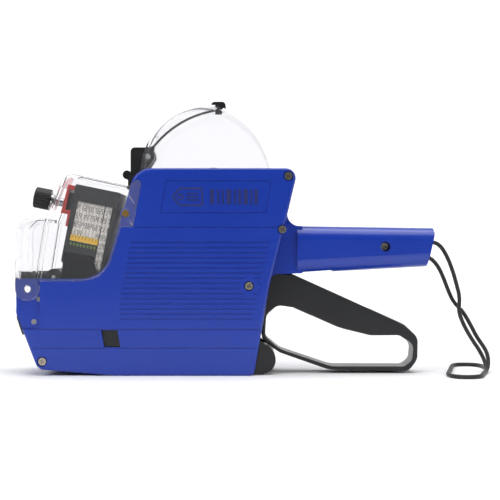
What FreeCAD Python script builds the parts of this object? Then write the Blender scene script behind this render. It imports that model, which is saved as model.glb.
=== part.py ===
"""Hand-held two-line price labelling gun, as a parametric FreeCAD document.

Frame in millimetres: +X runs back to the handle, +Y to the gun's right-hand side, +Z up.
The origin is the middle of the underside that the gun stands on.  Driving sizes are in the
sheet "sizes"; positions worked out from them are in the variable set "places".
"""
import FreeCAD, Part
import math
import os

from FreeCAD import Placement, Rotation, Vector

DOC = FreeCAD.newDocument("price_labeling_gun")

SIZES = {
    # case
    "case_half": 25.0, "case_wall": 2.4, "case_round": 1.5, "case_base": 0.0, "case_top": 119.4,
    "case_front": -121.2, "bay_front": -51.0, "bay_back": 27.6, "bay_lip": 1.6,
    "rib_pitch": 2.93, "rib_groove": 1.2, "rib_depth": 0.5, "rib_count": 16, "rib_first": 32.7,
    "boss_round": 3.6, "screw_round": 1.5, "screw_head": 2.2, "screw_recess": 2.9,
    "recess_depth": 2.0,
    # handle
    "neck_half": 13.5, "grip_half": 16.0, "grip_end_half": 14.0, "grip_start": 41.0,
    "grip_end": 121.5, "grip_round": 8.0, "grip_wall": 2.2,
    # lever: trigger, arms and pivot
    "pivot_x": 12.8, "pivot_z": 51.6, "axle_round": 2.5, "hub_round": 6.0,
    "spring_wire": 0.55, "spring_pitch": 1.3, "spring_turns": 3, "trigger_half": 10.5,
    "trigger_round": 0.9, "slot_gap": 0.7, "arm_thick": 2.0, "arm_inset": 2.6,
    "tie_x": -30.0, "tie_z": 50.0, "tie_round": 2.0, "pawl_near": 9.4, "pawl_far": 11.0,
    # print head, leaning back
    "head_x": -87.5, "head_z": 110.6, "head_lean": 11.5, "head_depth": 26.5, "head_tall": 46.5,
    "head_taper": 1.4, "head_wall": 1.2, "band_first": 3.1, "band_pitch": 2.0, "band_wide": 1.8,
    "band_thick": 1.0, "band_count": 8, "band_foot": 49.0, "band_crown": 3.4,
    "shaft_down": 12.0, "shaft_round": 2.5, "knob_round": 6.25, "knob_long": 9.5,
    "knob_reach": 25.0, "bracket_half": 12.0,
    # clear covers
    "clear_wall": 1.8, "door_wall": 1.6, "door_hinge_x": -114.6, "door_hinge_z": 49.9, "door_pin": 2.0,
    "door_ear": 6.9, "door_slot": 8.0, "door_front": -121.5, "door_top": 90.4,
    "dome_wall": 1.3, "dome_inset": 2.3, "dome_foot": 110.0,
    "cover_hinge_x": -46.6, "cover_hinge_z": 127.2, "cover_pin": 1.5, "post_half": 8.0,
    "strap_half": 2.0, "strap_thick": 1.0, "strap_arc_x": 2.2, "strap_arc_z": 97.2,
    "strap_arc": 59.2, "stem_x": -5.3, "stem_round": 2.0, "tab_screw": 1.2,
    # label roll, feed and base
    "roll_x": -8.0, "roll_z": 104.0, "roll_flange": 16.0, "roll_core": 12.5, "roll_axle": 3.0,
    "feed_x": -45.0, "feed_z": 24.0, "feed_round": 9.0, "feed_half": 9.0, "feed_axle": 2.5,
    "ratchet_teeth": 12, "platen_top": 39.2, "platen_half": 13.0, "beam_low": 12.0,
    "beam_high": 20.0, "press_x": -111.0, "press_z": 31.0, "press_round": 4.5,
    "ink_x": -101.0, "ink_z": 56.4, "ink_round": 5.0, "ink_half": 12.8, "ink_hinge_x": -108.0,
    "ink_hinge_z": 44.0, "ink_pin": 1.5,
    "floor_hinge_x": -97.5, "floor_hinge_z": 6.2, "floor_pin": 1.5, "floor_thick": 2.0,
    "floor_back": 8.8, "floor_half": 18.6,
    "latch_x": 20.3, "latch_z": 8.7, "latch_round": 8.0, "latch_half": 19.4, "latch_gap": 1.0,
    # cord and clearances
    "cord_round": 1.2, "cord_gap": 0.3, "cord_exit": 110.0,
    "running_gap": 0.05, "part_gap": 0.4, "trim_gap": 0.2,
}

sizes = DOC.addObject("Spreadsheet::Sheet", "sizes")
for row, (alias, number) in enumerate(SIZES.items(), start=1):
    sizes.set("A%d" % row, alias)
    sizes.set("B%d" % row, repr(number))
    sizes.setAlias("B%d" % row, alias)
DOC.recompute()

places = DOC.addObject("App::VarSet", "places")


def place(name, expression):
    """A position worked out from the sheet, kept as a bound property."""
    places.addProperty("App::PropertyFloat", name)
    places.setExpression(name, expression)


place("inner_half", "sizes.case_half - sizes.case_wall")
place("skin_half", "sizes.case_half - sizes.clear_wall")
place("door_half", "sizes.case_half - sizes.door_wall")
place("arm_out", "sizes.case_half - sizes.case_wall - sizes.arm_inset")
place("arm_in", "sizes.case_half - sizes.case_wall - sizes.arm_inset - sizes.arm_thick")
place("dome_half", "sizes.case_half - sizes.case_wall - sizes.dome_inset")
place("slot_half", "sizes.trigger_half + sizes.slot_gap")
place("hub_bore", "sizes.axle_round + sizes.running_gap")
DOC.recompute()

AXIS_Y = Rotation(Vector(1, 0, 0), -90)
AXIS_X = Rotation(Vector(0, 1, 0), 90)
SIDE_VIEW = Rotation(Vector(1, 0, 0), 90)
NODES = []


def bind(thing, **expressions):
    """Binds properties to expressions; a double underscore stands for the dot in a path."""
    for path, expression in expressions.items():
        thing.setExpression(path.replace("__", "."), str(expression))
    return thing


def node(thing, label):
    """Marks an object as a finished sub-part, whose label names its file."""
    thing.Label = label
    NODES.append(thing)
    return thing


def rounded(points):
    """Edges of a closed outline from (across, up, corner radius) points."""
    corners = [Vector(p[0], p[1], 0) for p in points]
    radii = [p[2] if len(p) > 2 else 0.0 for p in points]
    starts, ends, arcs = [], [], []
    for i, corner in enumerate(corners):
        before = (corners[i - 1] - corner).normalize()
        after = (corners[(i + 1) % len(corners)] - corner).normalize()
        if radii[i] <= 0:
            starts.append(corner)
            ends.append(corner)
            arcs.append(None)
            continue
        half = before.getAngle(after) / 2
        reach = radii[i] / math.tan(half)
        first, last = corner + before * reach, corner + after * reach
        middle = (before + after).normalize() * (radii[i] / math.sin(half) - radii[i])
        starts.append(first)
        ends.append(last)
        arcs.append(Part.Arc(first, corner + middle, last))
    edges = []
    for i in range(len(corners)):
        if arcs[i]:
            edges.append(arcs[i])
        nxt = starts[(i + 1) % len(corners)]
        if ends[i].distanceToPoint(nxt) > 1e-6:
            edges.append(Part.LineSegment(ends[i], nxt))
    return edges


def inset(points, wall):
    """The same outline moved inwards by a wall, with its corner radii kept concentric."""
    area = sum(p[0] * q[1] - q[0] * p[1] for p, q in zip(points, points[1:] + points[:1]))
    side = 1.0 if area > 0 else -1.0
    lines = []
    for p, q in zip(points, points[1:] + points[:1]):
        along = Vector(q[0] - p[0], q[1] - p[1], 0).normalize()
        normal = Vector(-along.y, along.x, 0) * side
        lines.append((Vector(p[0], p[1], 0) + normal * wall, along))
    moved = []
    for i, point in enumerate(points):
        (a, u), (b, v) = lines[i - 1], lines[i]
        cross = u.x * v.y - u.y * v.x
        t = ((b.x - a.x) * v.y - (b.y - a.y) * v.x) / cross
        corner = a + u * t
        radius = point[2] if len(point) > 2 else 0.0
        bulge = -wall if cross * side > 0 else wall
        moved.append((corner.x, corner.y, max(radius + bulge, 0.0) if radius else 0.0))
    return moved


def sketch(name, edges, turn=SIDE_VIEW):
    """A sketch holding one closed outline, turned to its view."""
    drawing = DOC.addObject("Sketcher::SketchObject", name)
    drawing.Placement = Placement(Vector(0, 0, 0), turn)
    drawing.addGeometry(edges)
    return drawing


def slab(name, points, half, hollow=None):
    """An outline in the side view, as thick as twice half about the middle plane."""
    edges = rounded(points) if isinstance(points[0], tuple) else points
    drawing = sketch(name + "_outline", edges)
    thing = DOC.addObject("Part::Extrusion", name)
    thing.Base, thing.DirMode, thing.Dir, thing.Solid = drawing, "Custom", Vector(0, 1, 0), True
    bind(thing, LengthFwd=half, LengthRev=half)
    return thing if hollow is None else cut(name + "_hollow", thing, hollow)


def plate(name, points, near, far):
    """An outline in the side view between two distances from the middle, on both sides."""
    outer = slab(name + "_outer", points, far)
    return cut(name, outer, [slab(name + "_gap", wide(points), near)])


def wide(points):
    """A rectangle that covers an outline with room to spare."""
    xs, zs = [p[0] for p in points], [p[1] for p in points]
    low_x, high_x, low_z, high_z = min(xs) - 5, max(xs) + 5, min(zs) - 5, max(zs) + 5
    return [(low_x, low_z), (high_x, low_z), (high_x, high_z), (low_x, high_z)]


def block(name, low_x, high_x, half, low_z, high_z):
    """A box about the middle plane; each argument is a number or an expression."""
    thing = DOC.addObject("Part::Box", name)
    return bind(thing, Length="(%s) - (%s)" % (high_x, low_x), Width="2 * (%s)" % half,
                Height="(%s) - (%s)" % (high_z, low_z), Placement__Base__x=low_x,
                Placement__Base__y="-(%s)" % half, Placement__Base__z=low_z)


def rod(name, x, z, radius, half):
    """A round bar across the gun, as long as twice half about the middle plane."""
    thing = DOC.addObject("Part::Cylinder", name)
    thing.Placement = Placement(Vector(0, 0, 0), AXIS_Y)
    return bind(thing, Radius=radius, Height="2 * (%s)" % half, Placement__Base__x=x,
                Placement__Base__z=z, Placement__Base__y="-(%s)" % half)


def disc(name, x, z, radius, start, thick):
    """A round bar across the gun from a starting distance, towards +Y."""
    thing = DOC.addObject("Part::Cylinder", name)
    thing.Placement = Placement(Vector(0, 0, 0), AXIS_Y)
    return bind(thing, Radius=radius, Height=thick, Placement__Base__x=x,
                Placement__Base__y=start, Placement__Base__z=z)


def fuse(name, things):
    """One solid from several that touch."""
    thing = DOC.addObject("Part::MultiFuse", name)
    thing.Shapes, thing.Refine = things, True
    return thing


def cut(name, base, tools):
    """The base with every tool taken out of it."""
    thing = DOC.addObject("Part::Cut", name)
    thing.Base, thing.Refine = base, True
    thing.Tool = tools[0] if len(tools) == 1 else fuse(name + "_tools", tools)
    return thing


def common(name, base, tool):
    """What two solids share."""
    thing = DOC.addObject("Part::Common", name)
    thing.Base, thing.Tool = base, tool
    return thing


def fillet(name, base, radius, chosen):
    """Rounds the edges of a base that the chosen test picks."""
    DOC.recompute()
    picked = [(i + 1, radius, radius) for i, edge in enumerate(base.Shape.Edges) if chosen(edge)]
    thing = DOC.addObject("Part::Fillet", name)
    thing.Base, thing.Edges = base, picked
    return thing


def rims(half):
    """Picks the edges that lie in the two outer side planes of a slab."""
    def chosen(edge):
        box = edge.BoundBox
        return abs(abs(box.Center.y) - half) < 1e-4 and box.YLength < 1e-4
    return chosen


def mirrored(name, base):
    """The right-hand twin of a left-hand piece."""
    thing = DOC.addObject("Part::Mirroring", name)
    thing.Source, thing.Base, thing.Normal = base, Vector(0, 0, 0), Vector(0, 1, 0)
    return thing


def group(name, things):
    """Separate solids kept together as one node."""
    thing = DOC.addObject("Part::Compound", name)
    thing.Links = things
    return thing


def head_point(across, down):
    """A place on the leaning print head: across from its front edge, down from its top."""
    lean = math.radians(sizes.head_lean)
    return (sizes.head_x + across * math.cos(lean) - down * math.sin(lean),
            sizes.head_z - across * math.sin(lean) - down * math.cos(lean))


def head_outline(points):
    """Print-head places turned into a side-view outline; a third value is a corner radius."""
    return [head_point(p[0], p[1]) + tuple(p[2:]) for p in points]


# ---------------------------------------------------------------- case outlines
BASE, TOP, FRONT = sizes.case_base, sizes.case_top, sizes.case_front
SIDE = [
    (-64.1, BASE), (15.7, BASE, 3.5), (24.9, 53.9), (35.2, 94.1), (41.2, TOP, 5.8),
    (-52.4, TOP, 12.0), (-70.8, 55.7, 17.8), (FRONT, 55.7, 1.0), (FRONT, 36.1, 3.0),
    (-108.6, 3.6, 6.0),
]
NECK = [(20, 46), (23.5, 46), (26.2, 58.2, 3.5), (44, 58.7), (44, 86.3), (33.3, 86.3, 7.0),
        (36.6, 100), (28, 100)]
GRIP_LOW, GRIP_HIGH = (58.5, 62.9), (86.4, 85.2)
MOUTH = [(-47.5, 125), (-52.4, 108), (-63.5, 66), (-73, 53.0), (-118.6, 53.0), (-118.6, 36.5),
         (-113.4, 22.5), (-127, 22.5), (-127, 125)]
SCREWS = {"top": (35.5, 114.8), "back": (32.1, 84.1), "axle": (sizes.pivot_x, sizes.pivot_z),
          "front": (-106.0, 8.2), "handle": (92.5, 74.3)}


def grip_section(name, x, half, low, high, wall=0.0):
    """A rounded cross-section of the handle at one place along it."""
    corner = sizes.grip_round - wall
    half, low, high = half - wall, low + wall, high - wall
    edges = rounded([(-half, low, corner), (half, low, corner), (half, high, corner),
                     (-half, high, corner)])
    drawing = DOC.addObject("Sketcher::SketchObject", name)
    drawing.Placement = Placement(Vector(x, 0, 0), Rotation(Vector(1, 1, 1), 120))
    drawing.addGeometry(edges)
    return drawing


def grip(name, wall):
    """The handle's tapering grip, or with a wall its hollow."""
    start, end = sizes.grip_start + wall, sizes.grip_end - wall
    near = grip_section(name + "_near", start, sizes.grip_half, GRIP_LOW[0], GRIP_HIGH[0], wall)
    far = grip_section(name + "_far", end, sizes.grip_end_half, GRIP_LOW[1], GRIP_HIGH[1], wall)
    loft = DOC.addObject("Part::Loft", name)
    loft.Sections, loft.Solid, loft.Ruled = [near, far], True, True
    if wall:
        return loft
    slope = [(30, 40), (116.8, 40), (117.1, 62.8, 2.0), (sizes.grip_end, 82.0, 3.5),
             (118.9, 95), (30, 95)]
    return common(name + "_sloped", loft, slab(name + "_end", slope, 40))


def case_shell():
    """Both side covers in one, hollow, with every opening and recess cut."""
    body = fillet("case_body", slab("case_block", SIDE, "sizes.case_half"), sizes.case_round,
                  rims(sizes.case_half))
    skin = fuse("case_skin", [body, slab("neck", NECK, "sizes.neck_half"), grip("grip", 0.0)])
    inner_neck = [(14, 48), (24, 48), (30, 61.2), (50, 61.0), (50, 83.6), (28, 83.6)]
    hollow = [
        slab("case_void", inset(SIDE, sizes.case_wall), "places.inner_half"),
        slab("neck_void", inner_neck, "places.slot_half"),
        grip("grip_void", sizes.grip_wall),
        block("bay_void", "sizes.bay_front", "sizes.bay_back", "places.inner_half - sizes.bay_lip",
              90, "sizes.case_top + 3"),
        slab("mouth_void", MOUTH, "places.inner_half"),
        block("floor_void", -101.4, 12, "sizes.floor_half + sizes.part_gap", -2, 6.6),
        slab("corner_void", [(6, -2), (32, -2), (32, 20.5), (6, 20.5)],
             "sizes.latch_half + sizes.latch_gap"),
        slab("trigger_void", [(14, 8), (32, 8), (62, 45), (62, 64), (20, 64)],
             "places.slot_half"),
    ]
    return cut("case_shell", skin, hollow)


def side_trim():
    """Grooves, ribs, recesses and windows cut into the outside of both covers."""
    depth = "sizes.case_half - sizes.rib_depth"
    grooves = []
    for i in range(int(sizes.rib_count)):
        z = sizes.rib_first + i * sizes.rib_pitch
        left = -61.2 + (z - 43.6) * (-54.9 + 61.2) / (76.3 - 43.6) if z > 43.6 else -61.2
        right = 14.5 + (z - 32.7) * (24.3 - 14.5) / (76.3 - 32.7)
        low, high = z - sizes.rib_groove / 2, z + sizes.rib_groove / 2
        grooves.append(plate("rib_%d" % i, [(left, low), (right, low), (right, high),
                                            (left, high)], depth, "sizes.case_half + 1"))
    island = disc("island", "sizes.pivot_x", "sizes.pivot_z", 5.5, -40, 80)
    ribs = cut("ribs", fuse("rib_set", grooves), [island])
    bands = []
    for name, z, left in (("upper", 26.7, -113.5), ("lower", 16.0, -110.0)):
        bands.append(plate("groove_" + name, [(left, z - 0.4), (19.0, z - 0.4), (19.0, z + 0.4),
                                              (left, z + 0.4)], depth, "sizes.case_half + 1"))
    step = plate("step", [(-53.0, 85.1), (31.0, 85.1), (31.0, 85.7), (-53.0, 85.7)],
                 "sizes.case_half - 0.4", "sizes.case_half + 1")
    frame = [(-38.3, 93.3), (22.6, 93.3), (26.0, 112.3), (-34.8, 112.3)]
    border = cut("frame_line", plate("frame_out", frame, "sizes.case_half - 0.35",
                                     "sizes.case_half + 1"),
                 [slab("frame_in", inset(frame, 0.7), "sizes.case_half + 2")])
    window = slab("catch_window", [(-72.1, 26.3), (-62.7, 26.3), (-60.9, 16.4), (-70.4, 16.4)],
                  "sizes.case_half + 1")
    ear = plate("ear_recess", [(-125, 26.7), (-107.2, 26.7), (-107.2, 60), (-125, 60)],
                "places.skin_half - sizes.trim_gap", "sizes.case_half + 1")
    rebate = plate("cover_rebate", inset(HEAD_COVER, -sizes.trim_gap),
                   "places.skin_half - sizes.trim_gap", "sizes.case_half + 1")
    return [ribs] + bands + [step, border, window, ear, rebate]


BOUNDARY_LOW, BOUNDARY_HIGH = (-109.0, 57.0), (-103.7, 90.4)
HEAD_COVER = [
    (BOUNDARY_LOW[0] + 0.2, 54.4), (-69.9, 54.4, 18.9), (-60.8, 85.5), (-53.8, 85.5, 1.0),
    (-49.0, 111.0, 1.2), (-51.6, 112.8, 1.2), (-56.1, 109.0, 2.0), (-93.0, 117.0, 8.0),
    (BOUNDARY_HIGH[0] + 0.2, BOUNDARY_HIGH[1]), (BOUNDARY_LOW[0] + 0.2, BOUNDARY_LOW[1]),
]


def screw_holes():
    """Head recesses on the left and shank holes through the bosses."""
    tools = []
    for name, (x, z) in SCREWS.items():
        face = -sizes.case_half if name != "handle" else -sizes.grip_half
        depth = 10.0 if name == "handle" else sizes.recess_depth
        tools.append(disc(name + "_recess", x, z, "sizes.screw_recess", face - 2, depth + 2))
        if name != "axle":
            tools.append(disc(name + "_shank", x, z, "sizes.screw_round + sizes.running_gap",
                              face, -face + 8.2))
    return tools


def bosses():
    """Screw posts inside the case, except at the lever's axle."""
    made = []
    for name, (x, z) in SCREWS.items():
        if name == "axle":
            continue
        half = "sizes.grip_end_half - 1" if name == "handle" else "places.inner_half + 0.5"
        made.append(rod(name + "_boss", x, z, "sizes.boss_round", half))
    return made


def pin_holes():
    """Holes in both walls for the pins and axles that the covers carry."""
    gap = "sizes.running_gap"
    wall = "places.inner_half + 1.2"
    holes = [
        rod("door_hole", "sizes.door_hinge_x", "sizes.door_hinge_z", "sizes.door_pin + " + gap,
            "sizes.case_half + 1"),
        rod("ink_hole", "sizes.ink_hinge_x", "sizes.ink_hinge_z", "sizes.ink_pin + " + gap,
            "places.inner_half + 0.5"),
        rod("floor_hole", "sizes.floor_hinge_x", "sizes.floor_hinge_z",
            "sizes.floor_pin + " + gap, wall),
        rod("feed_hole", "sizes.feed_x", "sizes.feed_z", "sizes.feed_axle + " + gap, wall),
        rod("roll_hole", "sizes.roll_x", "sizes.roll_z", "sizes.roll_axle + " + gap, wall),
        rod("press_hole", "sizes.press_x", "sizes.press_z", "sizes.ink_pin + " + gap,
            "places.inner_half + 0.5"),
        rod("pivot_hole", "sizes.pivot_x", "sizes.pivot_z", "places.hub_bore",
            "sizes.case_half - sizes.recess_depth"),
    ]
    for x, z in HEAD_COVER_SCREWS:
        holes.append(rod("tab_hole", x, z, "sizes.tab_screw + sizes.running_gap",
                         "sizes.case_half + 1"))
    return holes


HEAD_COVER_SCREWS = [(-58.1, 93.3)]


def side_covers():
    """The two halves of the case and handle, parted at the middle plane."""
    tab_bosses = [plate("tab_boss", [(x - 3.2, z - 3.2, 3.0), (x + 3.2, z - 3.2, 3.0),
                                     (x + 3.2, z + 3.2, 3.0), (x - 3.2, z + 3.2, 3.0)],
                        "places.inner_half - 1.8", "places.inner_half + 0.4")
                  for x, z in HEAD_COVER_SCREWS]
    whole = fuse("case_with_bosses", [case_shell()] + bosses() + tab_bosses)
    holes = []
    for i, (y, z) in enumerate(CORD_EXITS):
        hole = DOC.addObject("Part::Cylinder", "cord_hole_%d" % i)
        hole.Placement = Placement(Vector(sizes.cord_exit, y, z), AXIS_X)
        holes.append(bind(hole, Radius="sizes.cord_round + sizes.cord_gap", Height=20))
    carved = cut("case_carved", whole, side_trim() + pin_holes() + holes)
    for side, name in ((-1, "left_side_cover"), (1, "right_side_cover")):
        half = DOC.addObject("Part::Box", name + "_half")
        bind(half, Length=300, Width=60, Height=200, Placement__Base__x=-150,
             Placement__Base__z=-20, Placement__Base__y=-60 if side < 0 else 0)
        shape = common(name + "_solid", carved, half)
        node(cut(name, shape, screw_holes()), name)


CORD_EXITS = [(-1.6, 77.4), (1.6, 68.7)]


def fasteners():
    """Case screws with cross recesses, the tab screws, and the lever's axle."""
    made = []
    for name, (x, z) in SCREWS.items():
        face = -sizes.case_half if name != "handle" else -sizes.grip_half
        seat = face + (10.0 if name == "handle" else sizes.recess_depth)
        head = disc(name + "_head", x, z, "sizes.screw_head", seat - 1.5, 1.45)
        tip = 7.0 if name != "axle" else seat + 8.0
        shank = disc(name + "_thread", x, z, "sizes.screw_round", seat - 1.0, tip - seat + 1.0)
        slots = []
        for turn in (0, 90):
            slot = DOC.addObject("Part::Box", name + "_slot")
            bind(slot, Length=2.8, Width=1.0, Height=0.55)
            turned = Rotation(Vector(0, 1, 0), 25 + turn)
            offset = turned.multVec(Vector(-1.4, 0, -0.275))
            slot.Placement = Placement(Vector(x, seat - 2.0, z) + offset, turned)
            slots.append(slot)
        made.append(cut(name + "_screw", fuse(name + "_blank", [head, shank]), slots))
    node(group("case_screws", made), "case_screws")
    tabs = []
    for side in (-1, 1):
        for x, z in HEAD_COVER_SCREWS:
            seat = sizes.case_half - sizes.clear_wall + 0.6
            start = seat if side > 0 else -seat - 0.9
            head = disc("tab_head", x, z, 2.0, start, 0.9)
            inner = sizes.case_half - sizes.case_wall - 1.7
            shank = disc("tab_shank", x, z, "sizes.tab_screw", inner if side > 0 else -seat - 0.2,
                         seat + 0.2 - inner)
            tabs.append(fuse("tab_screw", [head, shank]))
    node(group("head_cover_screws", tabs), "head_cover_screws")
    blank = rod("axle_bar", "sizes.pivot_x", "sizes.pivot_z", "sizes.axle_round",
                "sizes.case_half - sizes.recess_depth - 0.05")
    hole = disc("axle_thread", "sizes.pivot_x", "sizes.pivot_z",
                "sizes.screw_round + sizes.running_gap", -30, 18)
    node(cut("axle_drilled", blank, [hole]), "pivot_axle")


# ---------------------------------------------------------------- lever
LOOP_OUT = [
    (38.0, 58.3, 1.5), (103.9, 28.6, 9.0), (111.9, 21.0, 7.0), (111.6, 8.0, 8.0),
    (106.5, 1.2, 6.0), (60.0, 2.0, 18.0), (30.6, 12.2, 14.0), (19.9, 19.8, 6.0),
    (20.6, 27.0), (9.0, 43.0), (12.8, 61.2, 5.0), (30.0, 59.2, 4.0),
]
LOOP_IN = [
    (22.3, 21.6, 4.0), (22.9, 34.2, 6.0), (29.5, 39.8, 6.0), (38.6, 38.6, 6.0),
    (66.0, 26.6, 40.0), (84.0, 22.2, 12.0), (101.0, 22.3, 5.0), (109.3, 17.0, 5.5),
    (108.6, 7.6, 5.0), (104.0, 4.0, 4.5), (61.0, 4.1, 16.0), (31.0, 14.2, 14.0),
]
ARM = [(19, 44.5, 5), (-60, 44.2, 6), (-70, 41.5, 10), (-97.0, 47.0, 2.5), (-93.9, 71.5, 2),
       (-77.6, 68.2, 2), (-74.3, 55.4, 5), (-52, 53.6, 10), (6, 61.2, 8), (19, 60.0, 6)]


def lever():
    """Trigger, hub, two arms, torsion spring and drive pawl: one lever about the axle."""
    blank = slab("trigger_block", LOOP_OUT, "sizes.trigger_half")
    looped = cut("trigger_loop", blank, [slab("finger_loop", LOOP_IN, "sizes.trigger_half + 1")])
    bored = cut("trigger_bored", looped, [rod("trigger_bore", "sizes.pivot_x", "sizes.pivot_z",
                                              "sizes.hub_round + sizes.running_gap", 30)])
    half = sizes.trigger_half
    pivot = Vector(sizes.pivot_x, 0, sizes.pivot_z)

    def outer_rim(edge):
        centre = edge.BoundBox.Center
        far = Vector(centre.x, 0, centre.z).distanceToPoint(pivot)
        return rims(half)(edge) and far > sizes.hub_round + 2
    node(fillet("trigger_soft", bored, sizes.trigger_round, outer_rim), "trigger")
    bore = rod("hub_bore", "sizes.pivot_x", "sizes.pivot_z", "places.hub_bore", 40)
    tube = rod("hub_tube", "sizes.pivot_x", "sizes.pivot_z", "sizes.hub_round", "places.arm_out")
    node(cut("hub_drilled", tube, [bore]), "lever_hub")
    arms = plate("arms", ARM, "places.arm_in", "places.arm_out")
    seat = rod("arm_bore", "sizes.pivot_x", "sizes.pivot_z",
               "sizes.hub_round + sizes.running_gap", 40)
    shaft_seat = rod("tie_bore", "sizes.tie_x", "sizes.tie_z",
                     "sizes.tie_round + sizes.running_gap", 40)
    drilled = cut("arms_drilled", arms, [seat, shaft_seat])
    for side, name in ((-1, "left_lever_arm"), (1, "right_lever_arm")):
        half_box = DOC.addObject("Part::Box", name + "_half")
        bind(half_box, Length=200, Width=60, Height=100, Placement__Base__x=-120,
             Placement__Base__y=-60 if side < 0 else 0)
        node(common(name, drilled, half_box), name)
    node(rod("arm_tie", "sizes.tie_x", "sizes.tie_z", "sizes.tie_round", "places.arm_out"),
         "arm_tie_rod")
    claw = plate("claw", [(-33.2, 47.0, 2), (-26.8, 47.0, 2), (-26.8, 53.4, 2.5),
                          (-33.2, 53.4, 2.5)], "sizes.pawl_near", "sizes.pawl_far")
    finger = plate("finger", [(-31.5, 50), (-28.0, 50), (-33.0, 30), (-35.0, 26.5, 0.6),
                              (-36.4, 27.5), (-35.4, 31.5)],
                   "sizes.pawl_near", "sizes.pawl_far")
    side = DOC.addObject("Part::Box", "pawl_half")
    bind(side, Length=60, Width=40, Height=80, Placement__Base__x=-60, Placement__Base__z=0)
    pawl_bore = rod("pawl_bore", "sizes.tie_x", "sizes.tie_z",
                    "sizes.tie_round + sizes.running_gap", 20)
    whole = cut("pawl_bored", fuse("pawl_blank", [claw, finger]), [pawl_bore])
    node(common("drive_pawl", whole, side), "drive_pawl")
    turns = DOC.addObject("Part::Helix", "spring_turns")
    turns.Placement, turns.SegmentLength = Placement(Vector(0, 0, 0), AXIS_Y), 1
    bind(turns, Radius="sizes.hub_round + 1.1", Pitch="sizes.spring_pitch",
         Height="sizes.spring_turns * sizes.spring_pitch", Placement__Base__x="sizes.pivot_x",
         Placement__Base__y="sizes.trigger_half + 1.2", Placement__Base__z="sizes.pivot_z")
    ring = DOC.addObject("Sketcher::SketchObject", "spring_wire")
    ring.Placement = Placement(Vector(sizes.pivot_x + sizes.hub_round + 1.1,
                                      sizes.trigger_half + 1.2, sizes.pivot_z), Rotation())
    ring.addGeometry(Part.Circle(Vector(0, 0, 0), Vector(0, 0, 1), sizes.spring_wire))
    coil = DOC.addObject("Part::Sweep", "spring_coil")
    coil.Sections, coil.Solid, coil.Frenet = [ring], True, True
    DOC.recompute()
    coil.Spine = (turns, ["Edge%d" % (i + 1) for i in range(len(turns.Shape.Edges))])
    leg = DOC.addObject("Part::Cylinder", "spring_leg")
    bind(leg, Radius="sizes.spring_wire - 0.05", Height=14,
         Placement__Base__x="sizes.pivot_x + sizes.hub_round + 1.1",
         Placement__Base__y="sizes.trigger_half + 1.2",
         Placement__Base__z="sizes.pivot_z - 0.3")
    node(fuse("spring_solid", [coil, leg]), "return_spring")


# ---------------------------------------------------------------- print head
def band_start(index):
    """Front edge of a type band; the last two stand a little apart from the rest."""
    gap = 0.5 if index >= sizes.band_count else 0.0
    return sizes.band_first + index * sizes.band_pitch + gap


def head_place(thing):
    """Sets a piece drawn upright at the print head's top front corner into its lean."""
    thing.Placement = Placement(Vector(sizes.head_x, 0, sizes.head_z),
                                Rotation(Vector(0, 1, 0), sizes.head_lean))
    return thing


def band_loop(name, start):
    """A closed type band, flat down both sides and rounded over its wheel and anvil."""
    wide_half = places.arm_in - sizes.head_wall - 0.2
    low, high, thick = -sizes.band_foot, -sizes.band_crown, sizes.band_thick
    outer = [(-wide_half, low, 4.0), (wide_half, low, 4.0), (wide_half, high, 9.0),
             (-wide_half, high, 9.0)]
    body = DOC.addObject("PartDesign::Body", name)
    drawing = body.newObject("Sketcher::SketchObject", name + "_outline")
    plane = [f for f in body.Origin.OriginFeatures if f.Role == "YZ_Plane"][0]
    drawing.AttachmentSupport, drawing.MapMode = [(plane, "")], "FlatFace"
    drawing.addGeometry(rounded(outer) + rounded(inset(outer, thick)))
    pad = body.newObject("PartDesign::Pad", name + "_pad")
    pad.Profile = drawing
    pad.setExpression("Length", "sizes.band_wide")
    drawing.AttachmentOffset = Placement(Vector(0, 0, start), Rotation())
    return head_place(body)


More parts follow.
